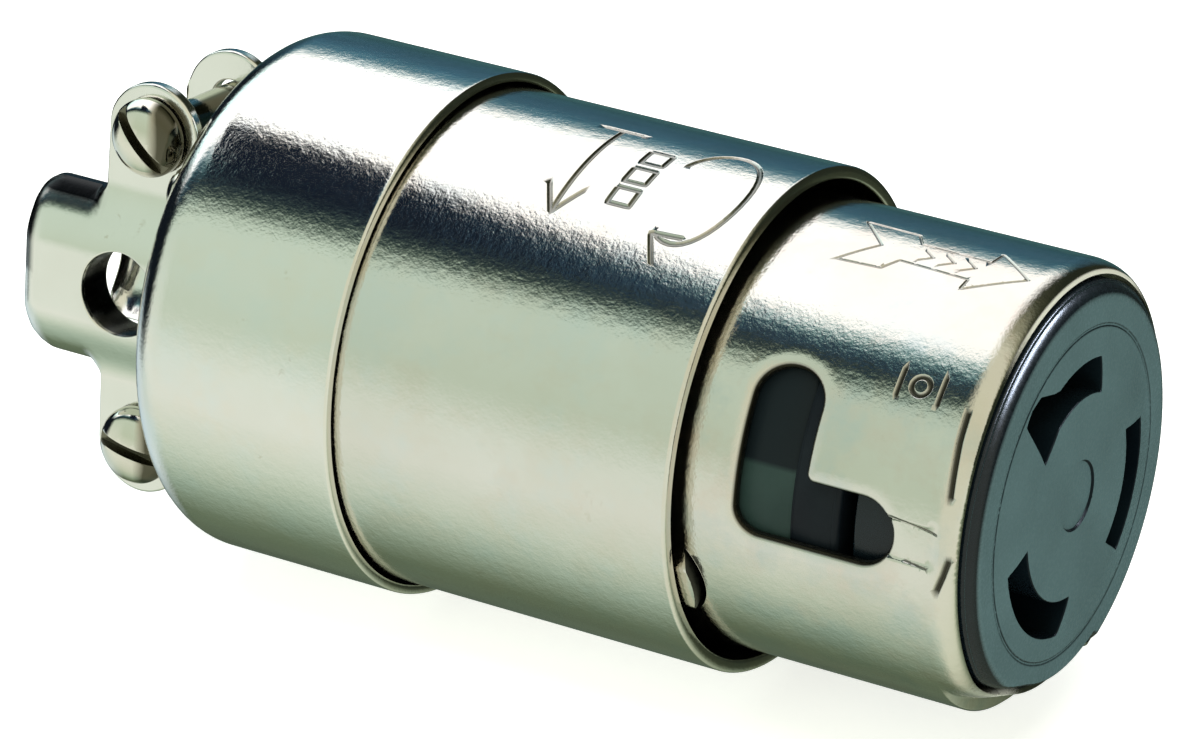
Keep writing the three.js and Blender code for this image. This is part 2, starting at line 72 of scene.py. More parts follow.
def rounded(corners, steps=8):
    """Closed polygon of (u, v, radius) corners with arcs in place of the corners."""
    out = []
    n = len(corners)
    for i, (u, v, r) in enumerate(corners):
        here = np.array([u, v], float)
        if r <= 0:
            out.append(here)
            continue
        a = np.array(corners[i - 1][:2], float) - here
        b = np.array(corners[(i + 1) % n][:2], float) - here
        a /= np.linalg.norm(a)
        b /= np.linalg.norm(b)
        half = math.acos(np.clip(a @ b, -1, 1)) / 2
        mid = (a + b) / np.linalg.norm(a + b)
        centre = here + mid * r / math.sin(half)
        p, q = here + a * r / math.tan(half) - centre, here + b * r / math.tan(half) - centre
        turn = math.atan2(p[0] * q[1] - p[1] * q[0], p @ q)
        for k in range(steps + 1):
            c, s = math.cos(turn * k / steps), math.sin(turn * k / steps)
            out.append(centre + [c * p[0] - s * p[1], s * p[0] + c * p[1]])
    return np.array(out)


def resample(loop, step, closed=True):
    """The same curve with points about step apart, its own corners kept."""
    pts = np.asarray(loop, float)
    ends = np.roll(pts, -1, 0) if closed else pts[1:]
    out = []
    for a, b in zip(pts, ends):
        n = max(1, int(math.ceil(np.linalg.norm(b - a) / step)))
        out += [a + (b - a) * k / n for k in range(n)]
    if not closed:
        out.append(pts[-1])
    keep = [0] + [i for i in range(1, len(out)) if np.linalg.norm(out[i] - out[i - 1]) > 1e-4]
    return np.array([out[i] for i in keep])


def ring(r, n, cx=0.0, cy=0.0):
    a = np.arange(n) * 2 * math.pi / n
    return np.stack([cx + r * np.cos(a), cy + r * np.sin(a)], 1)


def area(loop):
    x, y = loop[:, 0], loop[:, 1]
    return 0.5 * np.sum(x * np.roll(y, -1) - y * np.roll(x, -1))


def ccw(loop):
    return loop if area(loop) > 0 else loop[::-1]


def offset(loop, d):
    """Moves each point of a counter-clockwise loop outwards by d."""
    e = np.roll(loop, -1, 0) - np.roll(loop, 1, 0)
    e /= np.maximum(np.linalg.norm(e, axis=1, keepdims=True), 1e-9)
    return loop + d * np.stack([e[:, 1], -e[:, 0]], 1)


def distance(p, path, closed):
    """Distance from each point to a polyline."""
    a = np.asarray(path, float)
    b = np.roll(a, -1, 0)
    if not closed:
        a, b = a[:-1], b[:-1]
    best = np.full(len(p), 1e9)
    ab = b - a
    l2 = np.maximum((ab ** 2).sum(1), 1e-12)
    for i in range(len(a)):
        t = np.clip(((p - a[i]) @ ab[i]) / l2[i], 0, 1)
        d = p - a[i] - t[:, None] * ab[i]
        np.minimum(best, (d ** 2).sum(1), out=best)
    return np.sqrt(best)


def inside(p, loop):
    x, y = p[:, 0], p[:, 1]
    hit = np.zeros(len(p), bool)
    for (x0, y0), (x1, y1) in zip(loop, np.roll(loop, -1, 0)):
        if y0 == y1:
            continue
        cross = ((y0 > y) != (y1 > y)) & (x < (x1 - x0) * (y - y0) / (y1 - y0) + x0)
        hit ^= cross
    return hit


def in_any(p, loops):
    hit = np.zeros(len(p), bool)
    for loop in loops:
        hit |= inside(p, loop)
    return hit


def signed(p, loop):
    """Distance to a closed loop, negative inside it."""
    d = distance(p, loop, True)
    return np.where(inside(p, loop), -d, d)


def signed_near(p, loop, reach):
    """The same where p is within reach of the loop's box, and a large distance elsewhere."""
    d = np.full(len(p), 9.0)
    near = np.all((p > loop.min(0) - reach) & (p < loop.max(0) + reach), axis=1)
    if near.any():
        d[near] = signed(p[near], loop)
    return d


def grid(xs, ys):
    """Every (x, y) pair as a row of points."""
    gx, gy = np.meshgrid(xs, ys)
    return np.stack([gx.ravel(), gy.ravel()], 1)


def at_x(x, yz):
    """Points of the (y, z) plane, moved to x: one value, or one for each."""
    return np.column_stack([np.broadcast_to(x, len(yz)), yz])


def cylinder(x, r, a):
    """Points at radius r and angle a round the X axis."""
    return at_x(x, np.stack([r * np.cos(a), r * np.sin(a)], 1))


def clamp_points(x, out, up):
    """Points at x, moved out and up in the clamp's own rolled directions."""
    zero = np.zeros(np.shape(up))
    base = np.stack([x + zero, zero, zero], -1)
    return base + np.multiply.outer(out + zero, OUT) + np.multiply.outer(up + zero, UP)


def roll_in(d, r):
    """How far a rounded edge of radius r has dropped at distance d from the edge."""
    t = np.clip(r - d, 0, r)
    return r - np.sqrt(np.maximum(r * r - t * t, 0))


# ---- patches: (vertices, faces, vertex normals) ----
def sheet(lines, points, holes, outline=None):
    """Flat triangulation through lines (points, closed) and loose points, less what is in the holes."""
    pts, edges = [], []
    for path, closed in lines:
        base, n = len(pts), len(path)
        pts += [tuple(q) for q in path]
        edges += [(base + i, base + (i + 1) % n) for i in range(n if closed else n - 1)]
    pts += [tuple(q) for q in points]
    v, _, f, *_ = delaunay_2d_cdt([Vector(q) for q in pts], edges, [], 0, 1e-6)
    v = np.array([tuple(q) for q in v])
    f = np.array([tuple(q) for q in f])
    middle = v[f].mean(1)
    keep = ~in_any(middle, holes)
    if outline is not None:
        keep &= inside(middle, outline)
    return v, f[keep]


def height_patch(v, f, place, eps=0.012, flip=False):
    """Maps a flat sheet by place(uv) and takes its normals from the same function."""
    du, dv = np.array([eps, 0]), np.array([0, eps])
    a = place(v + du) - place(v - du)
    b = place(v + dv) - place(v - dv)
    n = np.cross(a, b)
    n /= np.maximum(np.linalg.norm(n, axis=1, keepdims=True), 1e-12)
    return (place(v), f[:, ::-1], -n) if flip else (place(v), f, n)


def quads(rows, m):
    """Faces between closed rows of m points."""
    return np.array([(j * m + i, j * m + (i + 1) % m, (j + 1) * m + (i + 1) % m, (j + 1) * m + i)
                     for j in range(rows - 1) for i in range(m)])


def strip(rows, flip=False):
    """Quads through closed rows of points, with smooth normals inside the strip."""
    v = np.concatenate([np.asarray(r, float) for r in rows])
    f = quads(len(rows), len(rows[0]))
    if flip:
        f = f[:, ::-1]
    return v, f, vertex_normals(v, f)


def vertex_normals(v, f):
    n = np.zeros_like(v)
    fn = np.cross(v[f[:, 2]] - v[f[:, 0]], v[f[:, -1]] - v[f[:, 1]])
    for k in range(f.shape[1]):
        np.add.at(n, f[:, k], fn)
    return n / np.maximum(np.linalg.norm(n, axis=1, keepdims=True), 1e-12)


def lathe(profile, phis):
    """Surface of revolution about X; profile runs so that outside is on its left."""
    p = np.asarray(profile, float)
    t = np.zeros_like(p)
    seg = np.diff(p, axis=0)
    seg /= np.maximum(np.linalg.norm(seg, axis=1, keepdims=True), 1e-12)
    t[:-1] += seg
    t[1:] += seg
    t /= np.linalg.norm(t, axis=1, keepdims=True)
    a = np.radians(np.asarray(phis, float))
    v = np.concatenate([cylinder(x, r, a) for x, r in p])
    n = np.concatenate([cylinder(-tr, tx, a) for tx, tr in t])
    f = quads(len(p), len(a))
    facing = np.cross(v[f[:, 1]] - v[f[:, 0]], v[f[:, 3]] - v[f[:, 0]])
    if np.sum(n[f[:, 0]] * facing) < 0:
        f = f[:, ::-1]
    return v, f, n


def shifted(patch, by):
    v, f, n = patch
    return v + by, f, n


def build(name, patches, materials, body, nodes, attribute=None, material_of=None):
    """One mesh object from patches; shared edges are welded, normals stay per patch."""
    allv = np.concatenate([p[0] for p in patches])
    _, first, index = np.unique(np.round(allv, 4), axis=0, return_index=True, return_inverse=True)
    index = index.reshape(-1)
    verts = allv[first] * MM
    faces, normals, mats, base = [], [], [], 0
    for k, (v, f, n) in enumerate(patches):
        for face in f:
            g = [int(index[base + i]) for i in face]
            loop = [i for i in range(len(g)) if g[i] != g[i - 1]]
            if len(set(g)) < 3 or len(loop) < 3:
                continue
            faces.append([g[i] for i in loop])
            normals += [n[face[i]] for i in loop]
            mats.append(material_of[k] if material_of else 0)
        base += len(v)
    mesh = bpy.data.meshes.new(name)
    mesh.from_pydata(verts.tolist(), [], faces)
    mesh.polygons.foreach_set("use_smooth", [True] * len(mesh.polygons))
    mesh.polygons.foreach_set("material_index", mats)
    if attribute is not None:
        layer = mesh.attributes.new("painted_light", "FLOAT", "POINT")
        layer.data.foreach_set("value", attribute(allv[first]).astype(np.float32))
    mesh.update()
    if len(mesh.loops) == len(normals):
        mesh.normals_split_custom_set([tuple(q) for q in normals])
    for m in materials:
        mesh.materials.append(m)
    return piece(name, mesh, body, nodes)


def new_object(name, data):
    """Object of the given data, linked into the scene."""
    obj = bpy.data.objects.new(name, data)
    bpy.context.scene.collection.objects.link(obj)
    return obj


def piece(name, mesh, body, nodes):
    obj = new_object(name, mesh)
    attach(obj, body)
    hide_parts(*nodes)
    return obj


# ---- materials ----
def new_material(name):
    m = bpy.data.materials.new(name)
    m.use_nodes = True
    tree = m.node_tree
    return m, tree, tree.nodes["Principled BSDF"]


def fill(tree, node, inputs):
    """Links the sockets and sets the plain values among a node's inputs."""
    for key, value in inputs.items():
        if isinstance(value, bpy.types.NodeSocket):
            tree.links.new(value, node.inputs[key])
        else:
            node.inputs[key].default_value = value


def add(tree, kind, inputs=None, **props):
    n = tree.nodes.new("ShaderNode" + kind)
    for key, value in props.items():
        setattr(n, key, value)
    fill(tree, n, inputs or {})
    return n


def maths(tree, operation, *values):
    return add(tree, "Math", dict(enumerate(values)), operation=operation).outputs[0]


def noise(tree, where, scale, detail=2.0, rough=0.5, stretch=None):
    if stretch:
        where = add(tree, "Mapping", {"Vector": where, "Scale": stretch}).outputs[0]
    inputs = {"Vector": where, "Scale": scale, "Detail": detail, "Roughness": rough}
    return add(tree, "TexNoise", inputs).outputs[0]


def ranged(tree, value, a, b, c=0, d=1):
    """Maps a..b to c..d and clamps."""
    return add(tree, "MapRange", {0: value, 1: a, 2: b, 3: c, 4: d}).outputs[0]


def rgba(colour):
    return colour if isinstance(colour, bpy.types.NodeSocket) else (*colour, 1)


def mixed(tree, fac, a, b):
    return add(tree, "Mix", {0: fac, 6: rgba(a), 7: rgba(b)}, data_type="RGBA").outputs[2]


def bumped(tree, heights):
    """Adds several bumps in turn: (height socket, size in metres)."""
    under = {}
    for h, size in heights:
        bump = add(tree, "Bump", {"Height": h, "Distance": size, "Strength": 1.0, **under})
        under = {"Normal": bump.outputs[0]}
    return under["Normal"]


def facing_x(tree):
    """The X part of the surface normal."""
    normal = add(tree, "NewGeometry").outputs["Normal"]
    return add(tree, "SeparateXYZ", {0: normal}).outputs[0]


# pale, hardly metallic tone of the painted highlight
PAINTED_HIGHLIGHT_TONE = (0.80, 0.80, 0.70)


def metal(name, light, dark, rough, grain, grain_scale, streak=0.0, stain=(0.42, 0.34, 0.22), marks=False,
          tint=(), painted_dark_tone=(0.036, 0.034, 0.024), painted_dark_dull=0.35, shaded_side=None):
    """Plated metal: two tones in soft clouds, a fine grain, faint drawing lines and small stains.
    A vertex attribute, where read, paints shade, dark and dull, above 0 and a pale, hardly metallic highlight
    below 0; shaded_side paints a dark reflection on what faces along +X."""
    m, t, b = new_material(name)
    at = add(t, "TexCoord").outputs["Object"]
    cloud = noise(t, at, 90, 3)
    grit = noise(t, at, grain_scale, 3, 0.6)
    ripple = noise(t, at, grain_scale * 0.3, 2, 0.5)
    spots = ranged(t, noise(t, at, 420, 4, 0.65), 0.66, 0.74, 0, 0.55)
    patch = ranged(t, noise(t, at, 60, 1), 0.52, 0.62)
    colour = mixed(t, ranged(t, cloud, 0.3, 0.7), light, dark)
    colour = mixed(t, maths(t, "MULTIPLY", spots, patch), colour, stain)
    for k, tone in enumerate(tint):
        shift = add(t, "Mapping", {"Vector": at, "Location": (0.37 * k + 0.11, 0.2, 0.05)}).outputs[0]
        cover = ranged(t, noise(t, shift, 130, 5, 0.62), 0.50, 0.66, 0, 0.85)
        colour = mixed(t, cover, colour, tone)
    dull = ranged(t, grit, 0.3, 0.7, rough * 0.75, rough * 1.35)
    fill(t, b, {"Metallic": 1.0})
    # a vertex attribute paints shade above 0 and a pale highlight below 0
    if marks:
        painted_light = add(t, "Attribute", attribute_name="painted_light").outputs["Fac"]
        painted_highlight = ranged(t, painted_light, 0, -1)
        colour = mixed(t, ranged(t, painted_light, 0, 1), colour, painted_dark_tone)
        colour = mixed(t, painted_highlight, colour, PAINTED_HIGHLIGHT_TONE)
        dull = maths(t, "ADD", dull, ranged(t, painted_light, 0, 1, 0, painted_dark_dull))
        dull = maths(t, "ADD", dull, ranged(t, painted_highlight, 0, 1, 0, 0.3))
        fill(t, b, {"Metallic": ranged(t, painted_highlight, 0, 1, 1, 0.15)})
    heights = [(grit, grain), (ripple, grain * 1.5)]
    if streak:
        heights.append((noise(t, at, 1.0, 2, 0.6, stretch=(2600, 60, 60)), streak))
    # painted dark reflection on what faces along +X
    if shaded_side:
        (start, end), tone = shaded_side
        colour = mixed(t, ranged(t, facing_x(t), start, end), colour, tone)
    fill(t, b, {"Base Color": colour, "Roughness": dull, "Normal": bumped(t, heights)})
    return m


def moulded(name, light, dark, rough, bump=6e-6, scale=2600, shine=0.5, face=None, shaded_above=None, rim=None):
    """Moulded plastic: cloudy tone, satin skin; face is a painted sheen on what points along +X, and a
    (height, tone) pair paints shade on what is above the height. Outside the radius rim the skin is polished."""
    m, t, b = new_material(name)
    at = add(t, "TexCoord").outputs["Object"]
    cloud = noise(t, at, 120, 4)
    skin = noise(t, at, scale, 3, 0.6)
    colour = mixed(t, ranged(t, cloud, 0.35, 0.65), light, dark)
    # painted sheen: what points along +X takes the lighter face tone
    if face:
        tone = mixed(t, ranged(t, cloud, 0.3, 0.7), face, [c * 0.86 for c in face])
        colour = mixed(t, ranged(t, facing_x(t), 0.90, 0.975), colour, tone)
    # painted shade: above the height the colour becomes the dark tone
    if shaded_above:
        height, tone = shaded_above
        high = add(t, "SeparateXYZ", {0: at}).outputs[2]
        colour = mixed(t, ranged(t, high, height, height + 0.0006), colour, tone)
    fill(t, b, {"Base Color": colour, "Specular IOR Level": shine})
    if rim:
        flat_at = add(t, "VectorMath", {0: at, 1: (0, 1, 1)}, operation="MULTIPLY").outputs[0]
        out = add(t, "VectorMath", {0: flat_at}, operation="LENGTH").outputs["Value"]
        fill(t, b, {"Specular IOR Level": ranged(t, out, rim, rim + 0.0006, shine, 0.30)})
    satin = ranged(t, skin, 0.3, 0.7, rough * 0.85, rough * 1.2)
    fill(t, b, {"Roughness": satin, "Normal": bumped(t, [(skin, bump), (cloud, bump)])})
    return m


CAP_NICKEL = metal("cap_nickel", (0.80, 0.79, 0.755), (0.765, 0.755, 0.705), 0.10, 1.8e-5, 3000, 4e-6,
                   tint=((0.79, 0.76, 0.70), (0.76, 0.78, 0.76)))
SLEEVE_NICKEL = metal("sleeve_nickel", (0.745, 0.73, 0.69), (0.71, 0.69, 0.635), 0.10, 1.9e-5, 3000, 4e-6,
                      marks=True, tint=((0.72, 0.68, 0.62), (0.69, 0.71, 0.69)))
NOSE_NICKEL = metal("nose_nickel", (0.725, 0.705, 0.65), (0.675, 0.65, 0.59), 0.105, 2.0e-5, 2900, 4e-6,
                    marks=True, tint=((0.70, 0.63, 0.565), (0.60, 0.63, 0.61)))
# painted shade on the walls of the nose's cut-outs
SHADED_EDGE_NICKEL = metal("cut_edge_painted_shade", (0.09, 0.095, 0.085), (0.06, 0.062, 0.055), 0.42, 1.2e-5, 2600)
# the near jaw's vertex attribute paints a dark reflection and shade on it
JAW_NICKEL = metal("jaw_nickel", (0.82, 0.81, 0.77), (0.77, 0.76, 0.71), 0.12, 1.0e-5, 2600, marks=True,
                   painted_dark_tone=(0.007, 0.008, 0.009), painted_dark_dull=0.12)
SCREW_NICKEL = metal("screw_nickel", (0.78, 0.75, 0.67), (0.66, 0.62, 0.53), 0.08, 5e-6, 3000,
                     shaded_side=((0.14, 0.36), (0.10, 0.095, 0.07)))
# painted shade in the screws' slots
SHADED_SLOT_NICKEL = metal("screw_slot_painted_shade", (0.20, 0.19, 0.14), (0.12, 0.115, 0.085), 0.3, 8e-6, 3000)
BRASS = metal("brass_contact", (0.72, 0.55, 0.26), (0.62, 0.45, 0.20), 0.24, 6e-6, 2600, 3e-6,
              stain=(0.30, 0.20, 0.09))
STEEL = metal("zinc_steel", (0.63, 0.64, 0.65), (0.54, 0.55, 0.56), 0.27, 8e-6, 2400, 3e-6,
              stain=(0.35, 0.33, 0.28))
GREEN = metal("green_steel", (0.12, 0.42, 0.22), (0.08, 0.31, 0.17), 0.30, 8e-6, 2400,
              stain=(0.30, 0.33, 0.18))
# the face tone is a painted sheen on the insert's front face
NYLON = moulded("black_nylon", (0.005, 0.010, 0.013), (0.003, 0.006, 0.009), 0.26, 5e-7, 2600, 0.05,
                face=(0.083, 0.142, 0.152), rim=0.0203)
CORE = moulded("core_nylon", (0.007, 0.011, 0.014), (0.004, 0.006, 0.009), 0.34, shine=0.12)
# painted shade: the band's green turns dark above a height
CORE_GREEN = moulded("core_green", (0.026, 0.048, 0.042), (0.018, 0.035, 0.031), 0.38, shine=0.12,
                     shaded_above=(0.0066, (0.006, 0.010, 0.012)))
FIBRE = moulded("grey_fibre", (0.20, 0.185, 0.165), (0.13, 0.12, 0.105), 0.75, 1.5e-5, 1500)


# ---- light, floor and camera ----
# What the polished cylinder sees, by angle round the X axis (0 is +Y, 90 is up): sRGB colours.
BANDS = [
    (-30, 62, 88, 84), (-22, 44, 70, 70), (-14, 60, 94, 92), (-6, 36, 64, 68), (0, 60, 94, 104),
    (5, 34, 60, 72), (10, 66, 100, 114), (15, 38, 70, 86), (20, 78, 120, 132), (23, 50, 92, 108),
    (27, 120, 160, 162), (32, 250, 252, 252), (94, 252, 253, 253), (99, 225, 238, 234),
    (103, 128, 170, 164), (107, 62, 94, 98), (113, 36, 50, 54), (118, 34, 44, 46), (122, 72, 88, 76),
    (126, 158, 174, 154), (130, 194, 208, 188), (172, 189, 201, 178), (192, 215, 221, 204),
    (212, 220, 223, 207), (232, 203, 211, 191), (240, 190, 201, 179), (256, 154, 171, 149),
    (264, 132, 148, 125), (280, 93, 106, 82), (318, 76, 86, 70)]
# The same, seen by what faces the mating end.
FRONT = [
    (-60, 138, 148, 124), (-50, 118, 128, 104), (-36, 54, 60, 44), (-20, 38, 43, 32), (34, 34, 38, 28),
    (58, 60, 62, 46), (78, 150, 150, 124), (92, 214, 212, 188), (130, 206, 204, 176),
    (180, 214, 216, 194), (215, 220, 222, 202), (258, 206, 210, 184), (284, 160, 168, 142)]
# The same, seen by what faces the cord end.
LEFT = [
    (-36, 16, 20, 24), (26, 14, 20, 26), (36, 246, 250, 250), (84, 255, 255, 255), (96, 80, 118, 122),
    (104, 36, 54, 62), (116, 20, 28, 34), (124, 150, 166, 148), (130, 192, 206, 186),
    (180, 206, 214, 196), (215, 220, 224, 208), (250, 198, 210, 198), (280, 202, 214, 208),
    (312, 186, 202, 202)]
NICKEL_TINT = (0.79, 0.78, 0.735)


def linear(c):
    c /= 255
    return c / 12.92 if c <= 0.04045 else ((c + 0.055) / 1.055) ** 2.4


def ramp(tree, fac, stops):
    """Closed colour ramp of (degrees, sRGB) stops, seen through the nickel's own tint."""
    n = add(tree, "ValToRGB", {0: fac})
    e = n.color_ramp.elements
    stops = sorted((((a % 360) / 360), c) for a, *c in stops)
    first, last = stops[0], stops[-1]
    gap = first[0] + 1 - last[0]
    wrap = [a + (b - a) * (1 - last[0]) / gap for a, b in zip(last[1], first[1])]
    stops = [(0.0, wrap)] + stops + [(1.0, wrap)]
    while len(e) < len(stops):
        e.new(0.5)
    for k, (position, _) in enumerate(stops):
        e[k].position = position
    for k, (_, colour) in enumerate(stops):
        e[k].color = [min(linear(v) / q, 1.35) if v < 249 else 1.6 for v, q in zip(colour, NICKEL_TINT)] + [1]
    return n.outputs[0]


def studio():
    """World of painted reflections, blended by the X part of the direction looked in."""
    world = bpy.data.worlds.new("studio")
    bpy.context.scene.world = world
    world.use_nodes = True
    t = world.node_tree
    at = add(t, "TexCoord").outputs["Generated"]
    x, y, z = add(t, "SeparateXYZ", {0: at}).outputs
    turn = maths(t, "MULTIPLY", maths(t, "ARCTAN2", z, y), 1 / (2 * math.pi))
    turn = maths(t, "FRACT", maths(t, "ADD", turn, 1.0))
    sky = mixed(t, ranged(t, x, -0.26, -0.02), ramp(t, turn, BANDS), ramp(t, turn, FRONT))
    sky = mixed(t, ranged(t, x, -0.74, -0.56, 1, 0), sky, ramp(t, turn, LEFT))
    end_on = (0.006, 0.009, 0.013)
    sky = mixed(t, ranged(t, x, -0.97, -0.91, 1, 0), sky, end_on)
    # the dim parts are mottled
    speck = ranged(t, noise(t, at, 26, 4, 0.7), 0.36, 0.64, 0.55, 1.6)
    speck = add(t, "VectorMath", {0: sky, 1: speck}, operation="MULTIPLY").outputs[0]
    dim = ranged(t, add(t, "RGBToBW", {0: sky}).outputs[0], 0.04, 0.30, 1, 0)
    fill(t, t.nodes["Background"], {"Color": mixed(t, dim, sky, speck), "Strength": 1.0})


def plain_sheet(name, points, faces, material):
    mesh = bpy.data.meshes.new(name)
    mesh.from_pydata(points, [], faces)
    mesh.materials.append(material)
    return new_object(name, mesh)


FLOOR_GLOW, FLOOR_HALF, FLOOR_LINES, FLOOR_GAP = 0.62, 3.0, 24, 0.0002


def floor():
    m, t, b = new_material("pale_floor")
    at = add(t, "TexCoord").outputs["Object"]
    white = mixed(t, noise(t, at, 8, 2), (0.93, 0.935, 0.93), (0.90, 0.905, 0.90))
    fill(t, b, {"Base Color": white, "Roughness": 0.9, "Specular IOR Level": 0.0,
                "Emission Color": (1, 1, 1, 1), "Emission Strength": FLOOR_GLOW})
    n, z = FLOOR_LINES, -CAP_R * MM - FLOOR_GAP
    g = np.linspace(-FLOOR_HALF, FLOOR_HALF, n)
    points = [(x, y, z) for x in g for y in g]
    faces = [(i * n + j, (i + 1) * n + j, (i + 1) * n + j + 1, i * n + j + 1)
             for i in range(n - 1) for j in range(n - 1)]
    obj = plain_sheet("floor", points, faces, m)
    obj.visible_glossy = False


CARD_HEIGHT = 0.3
CARD_EDGE = [(-300, 40), (-222.8, 3.9), (-204.5, -20.5), (-181, -35.7), (-173.9, -75.8), (-163, -92),
             (-120, -140), (-300, -140)]
CARD_TONES = ((12, 20, 32), (42, 62, 76))


def dark_card():
    """Card above the object that only its polished skin sees: it slants the edge of the bright band."""
    m, t, b = new_material("dark_card")
    at = add(t, "TexCoord").outputs["Object"]
    across = add(t, "SeparateXYZ", {0: at}).outputs[0]
    tones = [[linear(v) / q for v, q in zip(c, NICKEL_TINT)] for c in CARD_TONES]
    fill(t, b, {"Base Color": (0, 0, 0, 1), "Specular IOR Level": 0.0, "Emission Strength": 1.0,
                "Emission Color": mixed(t, ranged(t, across, -0.216, -0.196), *tones)})
    points = [(x * MM, y * MM, CARD_HEIGHT) for x, y in CARD_EDGE]
    obj = plain_sheet("dark_card", points, [list(range(len(points)))], m)
    obj.visible_camera = obj.visible_diffuse = obj.visible_shadow = obj.visible_transmission = False


def area_lamp(name, width, height, power):
    lamp = bpy.data.lights.new(name, "AREA")
    lamp.shape, lamp.size, lamp.size_y, lamp.energy = "RECTANGLE", width, height, power
    return new_object(name, lamp)


studio()
floor()
dark_card()

softbox = area_lamp("softbox", 1.6, 1.2, 14)
softbox.location = (-0.1, -0.25, 1.3)
softbox.rotation_euler = (rad(-10), 0, 0)
softbox.visible_glossy = False

# a long blue-white strip that only the insert sees, for the glint along its rounded edge
edge_strip = area_lamp("edge_strip", 0.85, 0.14, 42)
edge_strip.data.color = (0.72, 0.82, 1.0)
edge_strip.visible_diffuse = False
edge_strip.location = Vector((0.62, 0.27, 0.72)) * 0.9
edge_strip.rotation_euler = (-edge_strip.location).to_track_quat("-Z", "Y").to_euler()

CAMERA_TURN, CAMERA_DROP = rad(30.485), rad(26.832)
CAMERA_AT = Vector((239.50, -501.27, 294.18))
LENS_LENGTH, SENSOR_WIDTH = 185.397, 36
look = Vector((-math.sin(CAMERA_TURN) * math.cos(CAMERA_DROP), math.cos(CAMERA_TURN) * math.cos(CAMERA_DROP),
               -math.sin(CAMERA_DROP)))
camera = bpy.data.cameras.new("camera")
camera.sensor_width = SENSOR_WIDTH
camera.lens = LENS_LENGTH
camera.clip_start, camera.clip_end = 0.05, 20
camera_obj = new_object("camera", camera)
camera_obj.location = CAMERA_AT * MM
camera_obj.rotation_euler = look.to_track_quat("-Z", "Y").to_euler()
bpy.context.scene.camera = camera_obj
bpy.context.scene.view_settings.view_transform = "Standard"


# ---- tubes with cut-outs and stamped marks ----
SEAM = 60.0  # degrees, where the flat sheet is closed into a tube
AROUND = np.arange(SEAM, SEAM + 359.9, 2.0)


def to_flat(x, deg):
    return np.stack([np.asarray(x, float), np.asarray(deg, float) * MM_PER_DEG], -1)


def wrapped(deg):
    """The same direction, counted in degrees from the seam."""
    return (deg - SEAM) % 360 + SEAM


def flat(v):
    """Flat points of a tube's vertices."""
    return to_flat(v[:, 0], wrapped(np.degrees(np.arctan2(v[:, 2], v[:, 1]))))


def window(x0, x1, a0, a1, step):
    """Square grid of flat points over a range of x and of degrees."""
    nx = max(2, int(round((x1 - x0) / step)) + 1)
    ny = max(2, int(round((a1 - a0) * MM_PER_DEG / step)) + 1)
    return grid(np.linspace(x0, x1, nx), np.linspace(a0, a1, ny)) * [1, MM_PER_DEG]


def stroke_points(strokes, width):
    """Points beside and along every stroke, thinned to about half a step apart."""
    out, step = [], 0.2
    for path, closed in strokes:
        p = resample(path, step, closed)
        e = np.gradient(p, axis=0)
        e /= np.maximum(np.linalg.norm(e, axis=1, keepdims=True), 1e-9)
        side = np.stack([-e[:, 1], e[:, 0]], 1)
        out += [p + side * width * k for k in (-1.15, -0.75, -0.4, 0, 0.4, 0.75, 1.15)]
    pts = np.concatenate(out)
    cell = step * 0.45
    _, first = np.unique(np.round(pts / cell).astype(int), axis=0, return_index=True)
    return pts[np.sort(first)]


class Marks:
    """Stamped strokes: a rounded groove of the given half-width and depth."""

    def __init__(self, strokes, width, depth):
        self.strokes, self.width, self.depth = strokes, width, depth
        every = np.concatenate([s[0] for s in strokes])
        self.low, self.high = every.min(0) - width * 2, every.max(0) + width * 2

    def share(self, p):
        out = np.zeros(len(p))
        near = np.all((p > self.low) & (p < self.high), axis=1)
        if near.any():
            q = p[near]
            d = np.min([distance(q, s, closed) for s, closed in self.strokes], axis=0)
            out[near] = smooth((self.width - d) / (self.width * 0.75))
        return out


def tube_sheet(radius, x0, x1, xs, windows=(), holes=(), hole_rows=(0.0,), marks=(), end1=None, flip=False):
    """One skin of a tube: a fine triangulation of (x, angle) mapped by radius(points)."""
    base = np.append(AROUND, SEAM + 360)
    end1 = base if end1 is None else end1
    xs = np.asarray(xs, float)
    lines = [(to_flat(np.full(len(a), x), a), False) for x, a in ((x0, base), (x1, end1))]
    lines += [(to_flat(xs, np.full(len(xs), a)), False) for a in (SEAM, SEAM + 360)]
    pts = grid(xs[1:-1], base[1:-1]) * [1, MM_PER_DEG]
    for (a, b, c, d, step) in windows:
        m = step * 0.5
        cut = ((pts[:, 0] > a - m) & (pts[:, 0] < b + m) & (pts[:, 1] > c * MM_PER_DEG - m)
               & (pts[:, 1] < d * MM_PER_DEG + m))
        pts = np.concatenate([pts[~cut], window(a, min(b, x1 - step * 0.6), c, d, step)])
    for m in marks:
        d = np.min([distance(pts, path, closed) for path, closed in m.strokes], axis=0)
        pts = np.concatenate([pts[d > m.width * 1.5], stroke_points(m.strokes, m.width)])
    for hole in holes:
        pts = pts[signed(pts, hole) > hole_rows[-1] + 0.12]
        lines += [(offset(hole, r), True) for r in hole_rows]
    v, f = sheet(lines, pts, holes)

    def place(p):
        return cylinder(p[:, 0], radius(p), p[:, 1] / NOSE_R)

    return height_patch(v, f, place, flip=not flip)


def hole_wall(hole, outer, inner):
    """Wall of a cut-out between the two skins."""
    r1, r0 = outer(hole), inner(hole)
    return strip([cylinder(hole[:, 0], r1 + (r0 - r1) * k / 4, hole[:, 1] / NOSE_R) for k in range(5)])


def arc_profile(cx, cr, r, a0, a1, n=8):
    """Arc in the (x, r) half-plane, angles from the +r direction towards -x."""
    t = np.radians(np.linspace(a0, a1, n + 1))
    return [(cx - r * math.sin(q), cr + r * math.cos(q)) for q in t]


